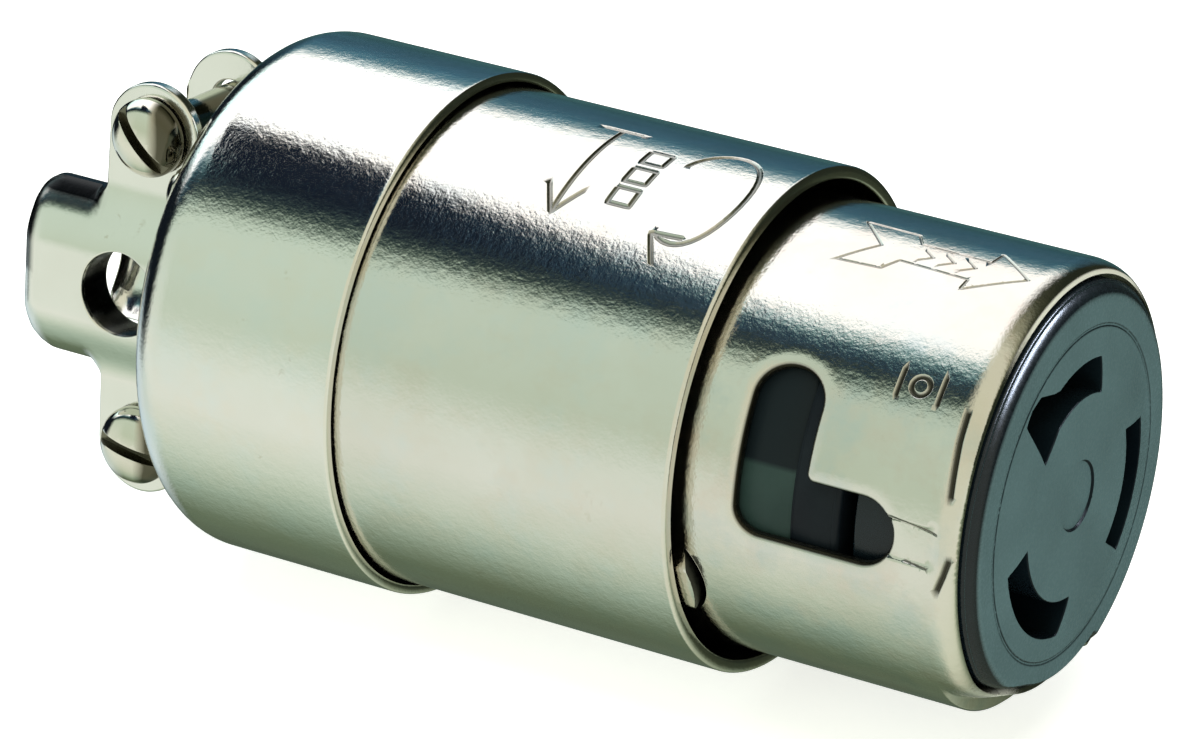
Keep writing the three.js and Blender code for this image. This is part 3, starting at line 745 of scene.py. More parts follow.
# ---- nose ----
NOSE_REAR, NOSE_TIP, LIP_X = -58.5, -1.3, -4.2
KEY_FLOOR_R, SLOT_FILLET = 21.6, 0.42


def slot_outline(pin):
    corners = [(-8.5, pin - 8.2, 3.5), (-8.5, pin + 8.8, 3.5), (-26.1, pin + 8.8, 2.8),
               (-26.1, pin - 34.8, 3.7), (-18.6, pin - 34.8, 3.7), (-18.6, pin - 8.2, 1.0)]
    return resample(ccw(rounded([(x, a * MM_PER_DEG, r) for x, a, r in corners], 12)), 0.35)


TAB_TURN, TAB_HALF = 28.6, 10.8


def crescent(pin):
    mid = pin + TAB_TURN
    a = np.linspace(-TAB_HALF, TAB_HALF, 29)
    front = to_flat(-29.9 - 1.75 * (a / TAB_HALF) ** 2, mid + a)
    back = to_flat((-30.6 - 1.25 * (a / TAB_HALF) ** 2)[::-1], mid + a[::-1] * 0.93)
    return resample(ccw(np.concatenate([front, back])), 0.3)


PIN_TURNS = [171.3, 351.3]
SLOTS = [slot_outline(p) for p in PIN_TURNS]
CRESCENTS = [crescent(p) for p in PIN_TURNS]
KEY = (217.0, 285.0)


def keyway_share(deg):
    """How far the lip and the insert step in at an angle: slowly at one end, sharply at the other."""
    deg = np.asarray(deg, float) % 360
    return smooth((deg - KEY[0] + 4) / 32) * smooth((KEY[1] + 4.2 - deg) / 2.4)


def pressed(p):
    """How far the front lip is pressed in at the keyway (0 to 1)."""
    x, a = p[:, 0], p[:, 1] / MM_PER_DEG
    return keyway_share(a) * smooth((x + 4.9) / 1.0)


def track(p):
    """Shallow track between a bayonet slot and the lip (0 to 1)."""
    x, a = p[:, 0], p[:, 1] / MM_PER_DEG
    off = np.min([np.abs(a - pin) for pin in PIN_TURNS], axis=0)
    return smooth((5.6 - off) / 1.4) * smooth((x + 9.9) / 0.6) * smooth((-3.0 - x) / 1.2)


def line(*points, closed=False):
    """Stroke through points of (x, degrees)."""
    return to_flat(*np.transpose(points)), closed


def nose_marks():
    """Stamped marks of the nose: an arrow with a notched tail and three chevrons, a ring between two
    bars, and by each slot the creases of the lip and the edges of the track."""
    arrow = [line((-24.4, 104.8), (-21.2, 95.6), (-24.9, 86.2), (-18.8, 86.6), (-17.6, 90.9), (-9.6, 91.3),
                  (-9.4, 86.0), (-4.7, 95.2), (-10.4, 104.8), (-10.3, 100.6), (-18.2, 99.8), (-19.4, 104.2),
                  closed=True)]
    arrow += [line((x, 93.2), (x + 1.3, 95.6), (x, 98.0)) for x in (-16.6, -14.2, -11.8)]
    bars = [line((x, 130.4), (x, 137.4)) for x in (-11.3, -6.7)]
    t = np.linspace(0, 2 * math.pi, 20)[:-1]
    bars.append((to_flat(-9.0 + np.cos(t), 133.9 + np.sin(t) / MM_PER_DEG), True))
    creases, edges = [], []
    for pin in PIN_TURNS:
        creases += [line((-3.3, pin - 34), (-3.2, pin - 27), (-2.95, pin - 20), (-2.75, pin - 13.5)),
                    line((-2.1, pin + 2.6), (-2.5, pin + 6.4), (-3.05, pin + 10.4))]
        edges += [line((-9.3, pin - 5.6), (-7, pin - 5.1), (-4.7, pin - 4.2), (-3.5, pin - 3.7)),
                  line((-6.7, pin + 4.7), (-4.3, pin + 5.3))]
    return [Marks(arrow, 0.20, 0.10), Marks(bars, 0.32, 0.22), Marks(creases, 0.42, 0.3),
            Marks(edges, 0.17, 0.08)]


NOSE_MARKS = nose_marks()
NOSE_STEP_R, TAB_RISE, TRACK_DEPTH = 25.3, 1.25, 0.35


def nose_outer(p):
    x, a = p[:, 0], p[:, 1] / MM_PER_DEG
    c = pressed(p)
    r = NOSE_R + (NOSE_STEP_R - NOSE_R) * smooth((-44.5 - x) / 2.0)
    t = np.clip((x - LIP_X) / (NOSE_TIP - LIP_X), 0, 1)
    curl = 1 - np.sqrt(np.maximum(1 - t * t, 0))
    r = (r - 1.3 * curl) * (1 - c) + (KEY_FLOOR_R - 0.4 * curl) * c
    r -= TRACK_DEPTH * track(p) * (1 - c)
    for slot in SLOTS:
        d = signed_near(p, slot, 3)
        r -= roll_in(np.maximum(d, 0), SLOT_FILLET) + 0.26 * np.clip(1 - d / 1.7, 0, 1) ** 2
    for pin in PIN_TURNS:
        da = np.abs(a - wrapped(pin + TAB_TURN))
        behind = x < -30.25 - 1.5 * (da / TAB_HALF) ** 2
        r += TAB_RISE * smooth((TAB_HALF - 0.6 - da) / 4.5) * smooth((x + 35.4) / 2.6) * behind
    for m in NOSE_MARKS:
        r -= m.depth * m.share(p)
    return r


def nose_inner(p):
    x = p[:, 0]
    c = pressed(p)
    r = NOSE_IN + (24.1 - NOSE_IN) * smooth((-45.0 - x) / 2.0)
    r = r * (1 - c) + (KEY_FLOOR_R - 1.2) * c
    tip = nose_outer(to_flat(np.full(len(p), NOSE_TIP), p[:, 1] / MM_PER_DEG))
    t = np.clip((x + 2.1) / 0.8, 0, 1)
    return r + (tip - r) * (1 - np.sqrt(np.maximum(1 - t * t, 0)))


def nose_shade(v):
    """Painted shade in the stamped lines and round the slot rims (above 0), a painted highlight of pale,
    hardly metallic metal on the lip (below 0).
    """
    p = flat(v)
    x, a, r = v[:, 0], p[:, 1] / MM_PER_DEG, np.hypot(v[:, 1], v[:, 2])
    dark = sum(k * m.share(p) for k, m in zip((0.4, 1, 1, 0.8), NOSE_MARKS))
    for slot in SLOTS:
        dark += smooth((0.34 - signed_near(p, slot, 1)) / 0.2)
    # painted highlight on the top of the lip's tip and on the lip by the keyway
    top = smooth((128 - a) / 22) + smooth((a - 395) / 15)
    painted_highlight = top * smooth((x + 1.52) / 0.12)
    painted_highlight += 0.75 * keyway_share(a) * smooth((250 - a) / 14) * smooth((x + 3.6) / 0.8)
    return np.clip(dark, 0, 1) - np.clip(painted_highlight, 0, 1) * (r > 20)


def nose():
    holes = SLOTS + CRESCENTS
    tip = [np.append(AROUND, SEAM + 360)] + [np.arange(p - 8, p + 8.1, 0.5) for p in PIN_TURNS]
    tip += [np.arange(k - 2.5, k + 2.6, 0.5) for k in KEY]
    tip = np.unique(np.round(np.concatenate(tip), 3))
    xs = [NOSE_REAR, -52, -46.6, -46.2, -45.8, -45.4, -45.0, -44.6, -44.2] + list(np.arange(-42, -4.3, 1.4))
    xs += [LIP_X, -4.0, -3.75, -3.5, -3.3, -3.1, -2.9, -2.7, -2.5, -2.3, -2.0, -1.75, -1.55, -1.4, -1.33]
    xs.append(NOSE_TIP)
    windows, inner_windows = [], []
    for p in PIN_TURNS:
        mid = wrapped(p + TAB_TURN)
        windows += [(-28, -6.6, p - 38, p + 11, 0.6), (-11, -4.6, p - 8, p + 8, 0.32),
                    (-36, -28.8, mid - 12.5, mid + 12.5, 0.34)]
        inner_windows.append((-11, -2.4, p - 8, p + 8, 0.5))
    windows.append((-5.4, -4.3, KEY[0] - 3, KEY[1] + 3, 0.4))
    outer = tube_sheet(nose_outer, NOSE_REAR, NOSE_TIP, xs, windows, holes, (0.0, 0.05, 0.13, 0.25, 0.42),
                       NOSE_MARKS, tip)
    inner_x = [NOSE_REAR, -52, -47, -46, -45, -43] + list(np.arange(-40, -3, 4.0))
    inner_x += [-2.6, -2.1, -1.8, -1.5, -1.35, NOSE_TIP]
    inner = tube_sheet(nose_inner, NOSE_REAR, NOSE_TIP, inner_x, inner_windows, holes, end1=tip, flip=True)
    walls = [hole_wall(h, nose_outer, nose_inner) for h in holes]
    rear = lathe([(NOSE_REAR, 24.1), (NOSE_REAR, NOSE_STEP_R)], AROUND)
    # the cut-out walls take the dark edge material: painted shade
    build("nose_shell_detail", [outer, inner, rear] + walls, [NOSE_NICKEL, SHADED_EDGE_NICKEL], "shell",
          ["nose_shell"], nose_shade, [0, 0, 0] + [1] * len(walls))


# ---- sleeve and cap ----
def arrow_head(tip, along, size):
    tip, along = np.array(tip, float), np.array(along, float)
    along /= np.linalg.norm(along)
    across = np.array([-along[1], along[0]])
    back, half = tip - along * size, across * size * 0.62
    return np.array([back + half, tip, back - half]), False


def sleeve_marks():
    """Turn arrow, three squares in a row and pull arrow, read round the sleeve."""
    k = MM_PER_DEG
    t = np.radians(np.linspace(-152, 118, 30))
    cx, cy, r = -40.0, 101.5 * k, 4.6
    arc = np.stack([cx + r * np.cos(t), cy + r * 1.55 * np.sin(t)], 1)
    out = [(arc, False), arrow_head(arc[-1] + [-0.3, 0.1], [-1.0, -0.55], 3.0)]
    row, pull = -47.6, -54.0
    for a in (94, 101.5, 109):
        out.append((np.array([(row - 1.3, a * k - 1.1), (row + 1.3, a * k - 1.1), (row + 1.3, a * k + 1.1),
                              (row - 1.3, a * k + 1.1)]), True))
    out += [line((pull, 85), (pull, 117.5)), arrow_head([pull, 118 * k], [0, 1.0], 3.2),
            line((pull - 2.2, 85), (pull + 2.2, 85))]
    return Marks(out, 0.33, 0.18)


SLEEVE_MARKS = sleeve_marks()
SLEEVE_REAR, SLEEVE_FRONT = -86.0, -33.0


def sleeve():
    def outer(p):
        return SLEEVE_R - SLEEVE_MARKS.depth * SLEEVE_MARKS.share(p)

    # painted shade in the stamped strokes of the outer skin
    def shade(v):
        return 0.6 * SLEEVE_MARKS.share(flat(v)) * (np.hypot(v[:, 1], v[:, 2]) > 26.5)

    xs = [SLEEVE_REAR] + list(np.arange(-80, -36, 4.0)) + [-36, -34, SLEEVE_FRONT]
    marked = (-58, -34.5, 78, 125, 0.9)
    skin = tube_sheet(outer, SLEEVE_REAR, SLEEVE_FRONT, xs, [marked], marks=[SLEEVE_MARKS])
    rim = [(SLEEVE_FRONT, SLEEVE_R), (-32.72, SLEEVE_R - 0.01)]
    rim += arc_profile(-32.62, SLEEVE_R - 0.5, 0.5, 0, -75, 6)
    rim += [(-32.1, SLEEVE_R - 0.75), (-32.12, SLEEVE_R - 0.95)]
    rim += arc_profile(-32.5, SLEEVE_IN + 0.38, 0.38, -95, -180, 5)
    rim += [(-33.4, SLEEVE_IN), (-60, SLEEVE_IN), (SLEEVE_REAR, SLEEVE_IN)]
    end = lathe([(SLEEVE_REAR, SLEEVE_IN), (SLEEVE_REAR, SLEEVE_R)], AROUND)
    build("middle_sleeve_detail", [skin, lathe(rim, AROUND), end], [SLEEVE_NICKEL], "shell",
          ["middle_sleeve"], shade)


def wall_sheet(loop_out, loop_in, holes, spacing, x, flip):
    """Flat ring across X with round holes."""
    lines = [(loop, True) for loop in [loop_out, loop_in] + holes]
    lo, hi = loop_out.min(0), loop_out.max(0)
    g = grid(np.arange(lo[0], hi[0], spacing), np.arange(lo[1], hi[1], spacing))
    ok = (signed(g, loop_out) < -spacing * 0.5) & (signed(g, loop_in) > spacing * 0.5)
    for h in holes:
        ok &= signed(g, h) > spacing * 0.4
    v, f = sheet(lines, g[ok], [loop_in] + holes, loop_out)

    def place(p):
        return at_x(x, p)

    return height_patch(v, f, place, flip=flip)


def cap():
    n = 180
    cx, cr = CAP_REAR_X + CAP_SHOULDER, CAP_R - CAP_SHOULDER
    profile = arc_profile(cx, cr, CAP_SHOULDER, 90, 0, 18) + [(-88, CAP_R), (-80, CAP_R), (-72.3, CAP_R)]
    profile += arc_profile(-71.95, CAP_R - 0.4, 0.4, 0, -80, 6) + [(CAP_FRONT_X, CAP_R - 0.62)]
    profile += arc_profile(-71.8, CAP_IN + 0.28, 0.28, -95, -180, 4)
    profile += [(-73, CAP_IN), (-85, CAP_IN), (cx + 2.5, CAP_IN)]
    profile += arc_profile(cx, cr, CAP_SHOULDER - 1.4, 30, 90, 8)
    skin = lathe(profile, np.arange(0, 360, 360 / n))
    holes = [ring(2.2, 28, *post) for post in POSTS]
    holes += [ring(FOOT_HOLE_R, 28, *clamp_points(0, FOOT_OUT, u)[1:]) for u in FOOT_UPS]
    big, small = ring(cr, n), ring(CAP_HOLE_R, 120)
    back = wall_sheet(big, small, holes, 1.6, CAP_REAR_X, True)
    front = wall_sheet(big, small, holes, 2.4, CAP_WALL_X, False)
    depths = (CAP_REAR_X, -97.1, CAP_WALL_X)
    walls = [strip([at_x(x, loop) for x in depths], True) for loop in holes + [small]]
    build("rear_cap_detail", [skin, back, front] + walls, [CAP_NICKEL], "shell", ["rear_cap"])


# ---- plates with rounded edges ----
def no_relief(p):
    return np.zeros(len(p))


def plate(outline, holes, place, thick, edge, hole_edge, spacing, relief=no_relief, relief_points=None,
          bottom=True, wall_rows=3):
    """Patches of a plate: place(points, depth) maps it, with depth 0 on top and thick below."""
    def depth(p):
        d = roll_in(np.maximum(-signed(p, outline), 0), edge)
        for loop in holes:
            d += roll_in(np.maximum(signed_near(p, loop, 1), 0), hole_edge)
        return d

    def top_place(p):
        return place(p, depth(p) + relief(p))

    def bottom_place(p):
        return place(p, thick - depth(p))

    def skin(step, more=None):
        shares = (0.0, 0.12, 0.35, 0.65, 1.0)
        lines = [(offset(outline, -edge * q), True) for q in shares]
        lines += [(offset(loop, hole_edge * q), True) for loop in holes for q in shares]
        lo, hi = outline.min(0), outline.max(0)
        g = grid(np.arange(lo[0], hi[0] + step, step), np.arange(lo[1], hi[1] + step, step))
        ok = signed(g, outline) < -edge - step * 0.4
        for loop in holes:
            ok &= signed(g, loop) > hole_edge + step * 0.4
        g = g[ok]
        if more is not None:
            g = np.concatenate([g, more])
        return sheet(lines, g, holes, outline)

    out = [height_patch(*skin(spacing, relief_points), top_place)]
    if bottom:
        out.append(height_patch(*skin(spacing * 1.5), bottom_place, flip=True))
    low, low_hole = (thick - edge, thick - hole_edge) if bottom else (thick, thick)
    for loop, a, b, flip in [(outline, edge, low, True)] + [(q, hole_edge, low_hole, False) for q in holes]:
        top = a + relief(loop)
        rows = [place(loop, top + (b - top) * k / wall_rows) for k in range(wall_rows + 1)]
        out.append(strip(rows, flip))
    return out


# ---- insert and carrier ----
FACE_X, RECESS_R, INSERT_R, INSERT_REAR = 0.6, 3.7, 22.2, -13.4
RELIEF_R, GROOVE_R, INSERT_EDGE, SHOULDER = 20.05, 17.75, 0.35, 2.0


def polar_loop(points, step=0.5):
    p = np.array([(r * math.cos(rad(a)), r * math.sin(rad(a))) for r, a in points])
    return resample(ccw(p), step)


def arc_slot(start, end, r0=11.2, r1=15.0, n=14):
    """Ring slot whose ends may slant: start and end are the angles at r0 and at r1."""
    near = [(r0, start[0] + (end[0] - start[0]) * k / n) for k in range(n + 1)]
    far = [(r1, end[1] + (start[1] - end[1]) * k / n) for k in range(n + 1)]
    return near + far


def blade_slots():
    hooked = [(10.9, a) for a in np.linspace(65, 116, 12)]
    hooked += [(10.4, 128), (10.4, 137.5), (13.2, 134.5), (16.9, 131.5), (17.2, 126), (16.8, 119.5),
               (15, 112)]
    hooked += [(14.5, a) for a in np.linspace(108, 71, 10)]
    return [polar_loop(hooked), polar_loop(arc_slot((-50.5, -47), (14, 9))),
            polar_loop(arc_slot((-173.5, -170), (-96, -102.5)))]


def insert_outline():
    """Round, with a wide relief at the keyway."""
    a = np.arange(0, 360, 0.75)
    cut = np.maximum(keyway_share(a), smooth((a - 262) / 10) * smooth((KEY[1] + 4.8 - a) / 1.2))
    r = INSERT_R - (INSERT_R - RELIEF_R) * cut
    return np.stack([r * np.cos(np.radians(a)), r * np.sin(np.radians(a))], 1)


def face_relief(p):
    r = np.hypot(p[:, 0], p[:, 1])
    ring_groove = 0.11 * np.exp(-((r - GROOVE_R) / 0.19) ** 2)
    recess = 0.3 * smooth((RECESS_R + 0.1 - r) / 0.22)
    dome = 0.5 * smooth((r - 12.0) / 6.0)
    t = np.clip(r - (INSERT_R - SHOULDER), 0, SHOULDER - 0.3)
    return ring_groove + recess + dome + SHOULDER - np.sqrt(SHOULDER ** 2 - t * t)


def ring_rows(radii, n):
    return np.concatenate([ring(r, n) for r in radii])


def insert():
    outline = insert_outline()
    pts = ring_rows([GROOVE_R + q for q in (-0.75, -0.5, -0.3, -0.2, -0.11, 0, 0.11, 0.2, 0.3, 0.5)], 300)
    pts = np.concatenate([pts, ring_rows((20.2, 20.45, 20.7, 20.95, 21.2, 21.4, 21.55, 21.7, 21.84), 240)])
    pts = pts[signed(pts, outline) < -INSERT_EDGE - 0.1]
    pts = np.concatenate([pts, ring_rows((3.45, 3.55, 3.64, 3.73, 3.82, 3.95), 90)])

    def place(p, d):
        return at_x(FACE_X - d, p)

    patches = plate(outline, blade_slots(), place, FACE_X - INSERT_REAR, INSERT_EDGE, 0.16, 0.8,
                    face_relief, pts)
    return build("face_insert_detail", patches, [NYLON], "shell", ["face_insert"])


CORE_R, FLANGE_R, CORE_FRONT, CORE_STEP, CORE_REAR = 22.4, 23.4, -15.0, -47.8, -57.0


def carrier():
    """Carrier behind the insert: pockets for the contacts, a rear flange and two screw posts."""
    n = 120
    slots = [arc_slot((a - 28, a - 28), (a + 28, a + 28), 10.8, 15.4, 12) for a in CONTACTS]
    pockets = [polar_loop(slot, 0.9) for slot in slots] + [ring(2.3, 40)]

    def front_place(p, d):
        return at_x(CORE_FRONT - d, p)

    def rear_place(p, d):
        return at_x(CORE_REAR + d, p * [1, -1])

    front = plate(ring(CORE_R, n), pockets, front_place, CORE_FRONT - CORE_STEP, 0.6, 0.2, 1.6, bottom=False,
                  wall_rows=1)
    base = np.arange(n) * 360.0 / n
    step = lathe([(CORE_STEP, CORE_R), (CORE_STEP, FLANGE_R), (-48.1, 23.7), (-56.7, 23.7),
                  (CORE_REAR, FLANGE_R)], base)
    rear = plate(ccw(ring(FLANGE_R, n) * [1, -1]), [ccw(q * [1, -1]) for q in pockets], rear_place,
                 CORE_STEP - CORE_REAR, 0.01, 0.2, 1.6, bottom=False, wall_rows=1)
    del rear[1]  # its outer wall is part of the step
    post = lathe([(-56.5, 2.25), (-65.8, 2.25), (-66.0, 2.45), (-66.0, 3.0), (-65.8, 3.2), (-56.5, 3.2)],
                 np.arange(0, 360, 12))
    posts = [shifted(post, (0, y, z)) for y, z in POSTS]
    band = lathe([(-26.6, 22.42), (-26.4, 22.62), (-20.6, 22.62), (-20.3, 22.42)], base)
    seam = lathe([(-20.1, 22.41), (-19.95, 22.5), (-15.9, 22.5), (-15.75, 22.41)], base)
    patches = front + [step] + rear + posts + [band, seam]
    build("contact_carrier_detail", patches, [CORE, CORE_GREEN], "shell", ["contact_carrier"],
          material_of=[0] * (len(patches) - 2) + [1, 0])


# ---- cord clamp ----
ROLL_R, ROLL_DROP = 3.0, 2.0  # the saddle's free edges are rolled in
SADDLE_HALF, CLAMP_HOLE_R = 10.0, 2.45


def clamp_place(side, ear_outer):
    """Maps (x, width) and depth below the outer skin to the jaw's bent plate."""
    def place(p, d):
        x, w = p[:, 0], p[:, 1]
        rise = SADDLE_RISE * (1 - smooth((np.abs(w) - 3.5) / 8))
        rear = np.maximum(ROLL_R - (x - JAW_REAR), 0)
        side_edge = np.maximum(ROLL_R - (SADDLE_HALF - np.abs(w)), 0)
        side_edge *= smooth((CLAMP_X - EAR_R + 0.6 - x) / 2.2)
        q = np.clip(np.hypot(rear, side_edge) / ROLL_R, 0, 0.985)
        rise = rise - ROLL_DROP * (1 - np.sqrt(1 - q * q))
        return clamp_points(x, side * (ear_outer + rise - d), w)
    return place


def jaw_outline():
    def ear(s, a, b):
        t = np.radians(np.linspace(a, b, 40))
        return [(CLAMP_X + EAR_R * math.cos(q), s * EAR_W + EAR_R * math.sin(q), 0) for q in t]
    half, low, high = SADDLE_HALF, CLAMP_X - EAR_R, CLAMP_X + EAR_R
    corners = [(JAW_FRONT, -half, 0.6), (high, -half, 1.2)] + ear(-1, 0, -180)
    corners += [(low, -half, 1.2), (JAW_REAR, -half, 2.6), (JAW_REAR, half, 2.6), (low, half, 1.2)]
    corners += ear(1, 180, 0) + [(high, half, 1.2), (JAW_FRONT, half, 0.6)]
    return resample(ccw(rounded(corners, 10)), 0.5)


def jaw(side, ear_outer):
    """Half of the cord clamp: side 1 is the moving jaw nearest the camera, side -1 is fixed to the cap."""
    holes = [ring(CLAMP_HOLE_R, 32, CLAMP_X, w) for w in (-EAR_W, EAR_W)]
    holes.append(ring(JAW_HOLE_R, 56, JAW_HOLE_X, 0))
    patches = plate(jaw_outline(), holes, clamp_place(side, ear_outer), JAW_T, 0.38, 0.22, 0.7)
    if side > 0:
        node, body = "clamp_jaw_near", "moving_jaw"
        patches.append(collar(ear_outer + SADDLE_RISE))
    else:
        node, body = "clamp_jaw_far", "shell"
        skins = [(v, f[:, ::-1], -n) for v, f, n in patches[:2]]
        walls = [(v, f[:, ::-1], vertex_normals(v, f[:, ::-1])) for v, f, _ in patches[2:]]
        patches = skins + walls + far_foot()

    def shade(v):
        return jaw_shade(v, side, ear_outer)

    build(node + "_detail", patches, [JAW_NICKEL], body, [node], shade)


def jaw_shade(v, side, ear_outer):
    """Where the near jaw is painted dark and dull: a painted dark reflection on its rolled upper rear corner
    and painted shade inside its hole.
    """
    x, out, up = v[:, 0], v @ OUT * side, v @ UP
    body = smooth((CLAMP_X - EAR_R + 0.2 - x) / 0.6)
    rear = smooth((ROLL_R * 0.62 - (x - JAW_REAR)) / 0.9) * smooth((up + 0.5) / 1.0)
    upper = smooth((up - (SADDLE_HALF - ROLL_R * 0.72)) / 0.9) * body
    deep = np.hypot(x - JAW_HOLE_X, up) < JAW_HOLE_R + 0.12
    bore = deep * smooth((ear_outer + SADDLE_RISE - 0.35 - out) / 0.4)
    return np.clip(np.maximum(np.maximum(rear, upper), bore), 0, 1) * (side > 0)


def collar(face):
    """Turned-in collar of the hole."""
    r0, r1, end = JAW_HOLE_R - 0.04, JAW_HOLE_R + 1.2, face - JAW_COLLAR
    profile = [(r1, face - 1.9), (r1, end + 0.5), (r1 - 0.16, end + 0.15), (r1 - 0.5, end), (r0 + 0.4, end),
               (r0 + 0.1, end + 0.12), (r0, end + 0.5), (r0, end + 2.4), (r0, face - 0.7),
               (r0 + 0.1, face - 0.6)]
    rings = [(ring(r, 56, JAW_HOLE_X, 0), out) for r, out in profile]
    return strip([clamp_points(p[:, 0], out, p[:, 1]) for p, out in rings])


def far_foot():
    """Bent foot that stands against the rear wall of the cap, with two screw holes."""
    corners = [(-9.6, -9.2, 0.4), (-6.0, -9.2, 0.4), (-6.0, 9.2, 0.4), (-9.6, 9.2, 0.4),
               (-21, 7, 1.6), (-21, -7, 1.6)]
    outline = resample(ccw(rounded(corners, 8)), 0.6)
    holes = [ring(FOOT_HOLE_R, 28, FOOT_OUT, u) for u in FOOT_UPS]

    def place(p, d):
        return clamp_points(JAW_FRONT - JAW_T + d, p[:, 0], p[:, 1])

    return plate(outline, holes, place, JAW_T, 0.3, 0.2, 0.9)


def thread_rows(x0, x1, r, depth, pitch, n=32, per=7):
    """Rings of a single-start thread that fades out at its start."""
    rows = []
    count = max(2, int(abs(x1 - x0) / pitch * per))
    a = np.arange(n) * 2 * math.pi / n
    for x in np.linspace(x0, x1, count + 1):
        phase = (x / pitch - a / (2 * math.pi)) % 1
        fade = min(1, abs(x - x0) / pitch)
        rows.append(cylinder(x, r - depth * fade * (1 - np.abs(2 * phase - 1)) ** 0.8, a))
    return rows


def screw_head(head_profile, slot_width, slot_depth, turn):
    """Mesh of a turned head with a milled slot and soft edges."""
    v, f, _ = lathe(head_profile, np.arange(0, 360, 5))
    mesh = bpy.data.meshes.new("head")
    mesh.from_pydata((v * MM).tolist(), [], f.tolist())
    head = new_object("head", mesh)
    top, reach = min(p[0] for p in head_profile), max(p[1] for p in head_profile) + 1
    half = slot_width / 2
    box = [(x, y, z) for x in (top - 1, top + slot_depth) for y in (-half, half) for z in (-reach, reach)]
    box = np.array(box) @ np.array(Matrix.Rotation(turn, 3, "X")).T * MM
    mesh = bpy.data.meshes.new("cutter")
    mesh.from_pydata(box.tolist(), [], [(0, 1, 3, 2), (4, 6, 7, 5), (0, 4, 5, 1), (2, 3, 7, 6), (0, 2, 6, 4),
                                        (1, 5, 7, 3)])
    cutter = new_object("cutter", mesh)
    cut = head.modifiers.new("slot", "BOOLEAN")
    cut.operation, cut.solver, cut.object = "DIFFERENCE", "EXACT", cutter
    soft = head.modifiers.new("edges", "BEVEL")
    soft.width, soft.segments, soft.limit_method, soft.angle_limit = 0.09 * MM, 2, "ANGLE", rad(38)
    done = bpy.data.meshes.new_from_object(head.evaluated_get(bpy.context.evaluated_depsgraph_get()))
    bpy.data.objects.remove(head)
    bpy.data.objects.remove(cutter)
    return done


def slotted_screw(node, body, head, shank, thread, slot, turn_deg, matrix, pitch=0.794):
    """Screw along +x of its own frame, with its seat at 0. The pairs are the head's radius and height,
    the thread's start and end, and the slot's width and depth."""
    turn = rad(turn_deg)
    profile = pan_head(*head) + [(0, shank)]
    done = screw_head(profile, *slot, turn)
    rows = thread_rows(*thread, shank, 0.28, pitch)
    neck = rows[0] * [0, 1, 1]
    end = rows[-1] * [1, 0.86, 0.86] + [0.25, 0, 0]
    point = end * [1, 0, 0] + [0.05, 0, 0]
    v, f, _ = strip([neck] + rows + [end, point], True)
    width, depth = slot
    in_slot = []
    for face in done.polygons:
        x, y, z = face.center / MM
        across = abs(y * math.cos(turn) + z * math.sin(turn))
        in_slot.append(x < profile[0][0] + depth + 0.02 and across < width / 2 + 0.01)
    base = len(done.vertices)
    verts = [tuple(q.co) for q in done.vertices] + (v * MM).tolist()
    faces = [list(p.vertices) for p in done.polygons] + (f + base).tolist()
    name = node + "_detail"
    whole = bpy.data.meshes.new(name)
    whole.from_pydata(verts, [], faces)
    whole.transform(matrix)
    # faces inside the slot take the second, dark material: painted shade
    for q, dark in zip(whole.polygons, in_slot):
        q.material_index = int(dark)
    whole.update()
    bm = bmesh.new()
    bm.from_mesh(whole)
    bmesh.ops.remove_doubles(bm, verts=bm.verts, dist=2e-7)
    bmesh.ops.recalc_face_normals(bm, faces=bm.faces)
    for e in bm.edges:
        e.smooth = len(e.link_faces) == 2 and e.calc_face_angle(0) < rad(32)
    for q in bm.faces:
        q.smooth = True
    bm.to_mesh(whole)
    bm.free()
    whole.materials.append(SCREW_NICKEL)
    whole.materials.append(SHADED_SLOT_NICKEL)
    bpy.data.meshes.remove(done)
    piece(name, whole, body, [node])


def frame_matrix(axis, across, origin):
    x, y = Vector(axis).normalized(), Vector(across).normalized()
    m = Matrix((x, y, x.cross(y))).transposed().to_4x4()
    m.translation = Vector(origin) * MM
    return m


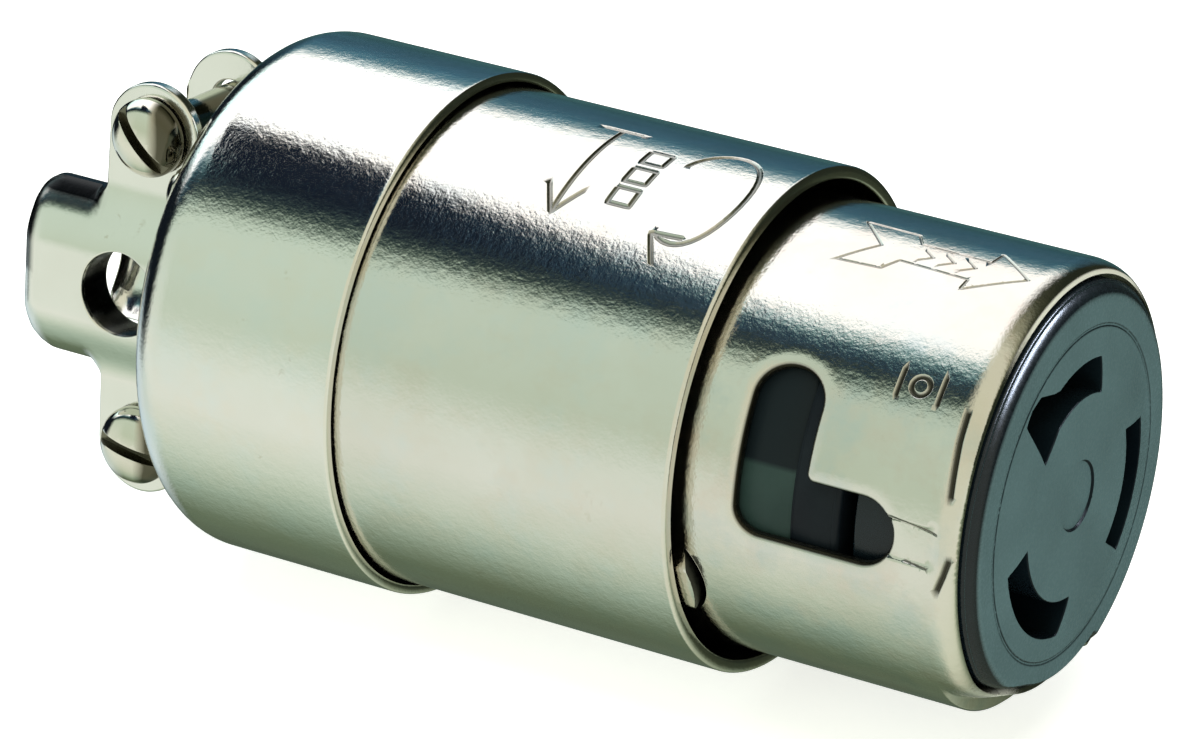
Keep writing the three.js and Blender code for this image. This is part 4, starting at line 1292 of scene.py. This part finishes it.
def pan_head(r, h):
    """Profile of a domed head from its crown to its seat at 0, along +x."""
    dome = [(-h + h * 0.62 * (1 - math.cos(t)), r * 0.93 * math.sin(t))
            for t in np.radians((0, 12, 24, 36, 48, 60, 72, 82))]
    return dome + [(-h * 0.33, r * 0.985), (-h * 0.22, r), (-0.18, r), (0, r - 0.16)]


SCREW_LIFT = 0.3  # seats stand this far off the face below


def screws():
    for word, u, turn in (("upper", EAR_W, 46), ("lower", -EAR_W, 10)):
        m = frame_matrix(-OUT, UP, clamp_points(CLAMP_X, NEAR_EAR + SCREW_LIFT, u))
        slotted_screw(f"clamp_screw_{word}", f"{word}_clamp_screw", (4.35, 3.0), 2.1, (14.6, 20.8),
                      (1.25, 1.7), turn, m)
    for k, u in enumerate(FOOT_UPS):
        m = frame_matrix((1, 0, 0), UP, clamp_points(JAW_FRONT - JAW_T - SCREW_LIFT, FOOT_OUT, u))
        slotted_screw(f"jaw_foot_screw_{k + 1}", "shell", (3.1, 2.0), 1.55, (1.8, 7.6), (0.9, 1.0),
                      25 + 50 * k, m, 0.6)
    for k, (y, z) in enumerate(POSTS):
        m = frame_matrix((1, 0, 0), (0, 1, 0), (CAP_REAR_X - SCREW_LIFT, y, z))
        slotted_screw(f"assembly_screw_{k + 1}", "shell", (3.0, 2.3), 1.9, (30, 45.6), (0.9, 1.2),
                      15 + 70 * k, m)


nose()
sleeve()
cap()
lit = bpy.data.collections.new("lit_by_strip")
lit.objects.link(insert())
edge_strip.light_linking.receiver_collection = lit
carrier()
jaw(1, NEAR_EAR)
jaw(-1, FAR_EAR)
screws()

LOOKS = {"contact_": BRASS, "terminal_box_": BRASS, "pressure_plate_": STEEL, "terminal_screw_": STEEL,
         "ground_strap": STEEL, "ground_plate": STEEL, "ground_screw": GREEN, "centre_screw": STEEL,
         "insulating_liner": FIBRE}
for name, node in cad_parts.items():
    look_for = [m for k, m in LOOKS.items() if name.startswith(k) and not name.startswith("contact_carrier")]
    if look_for:
        node.data.materials.clear()
        node.data.materials.append(look_for[0])
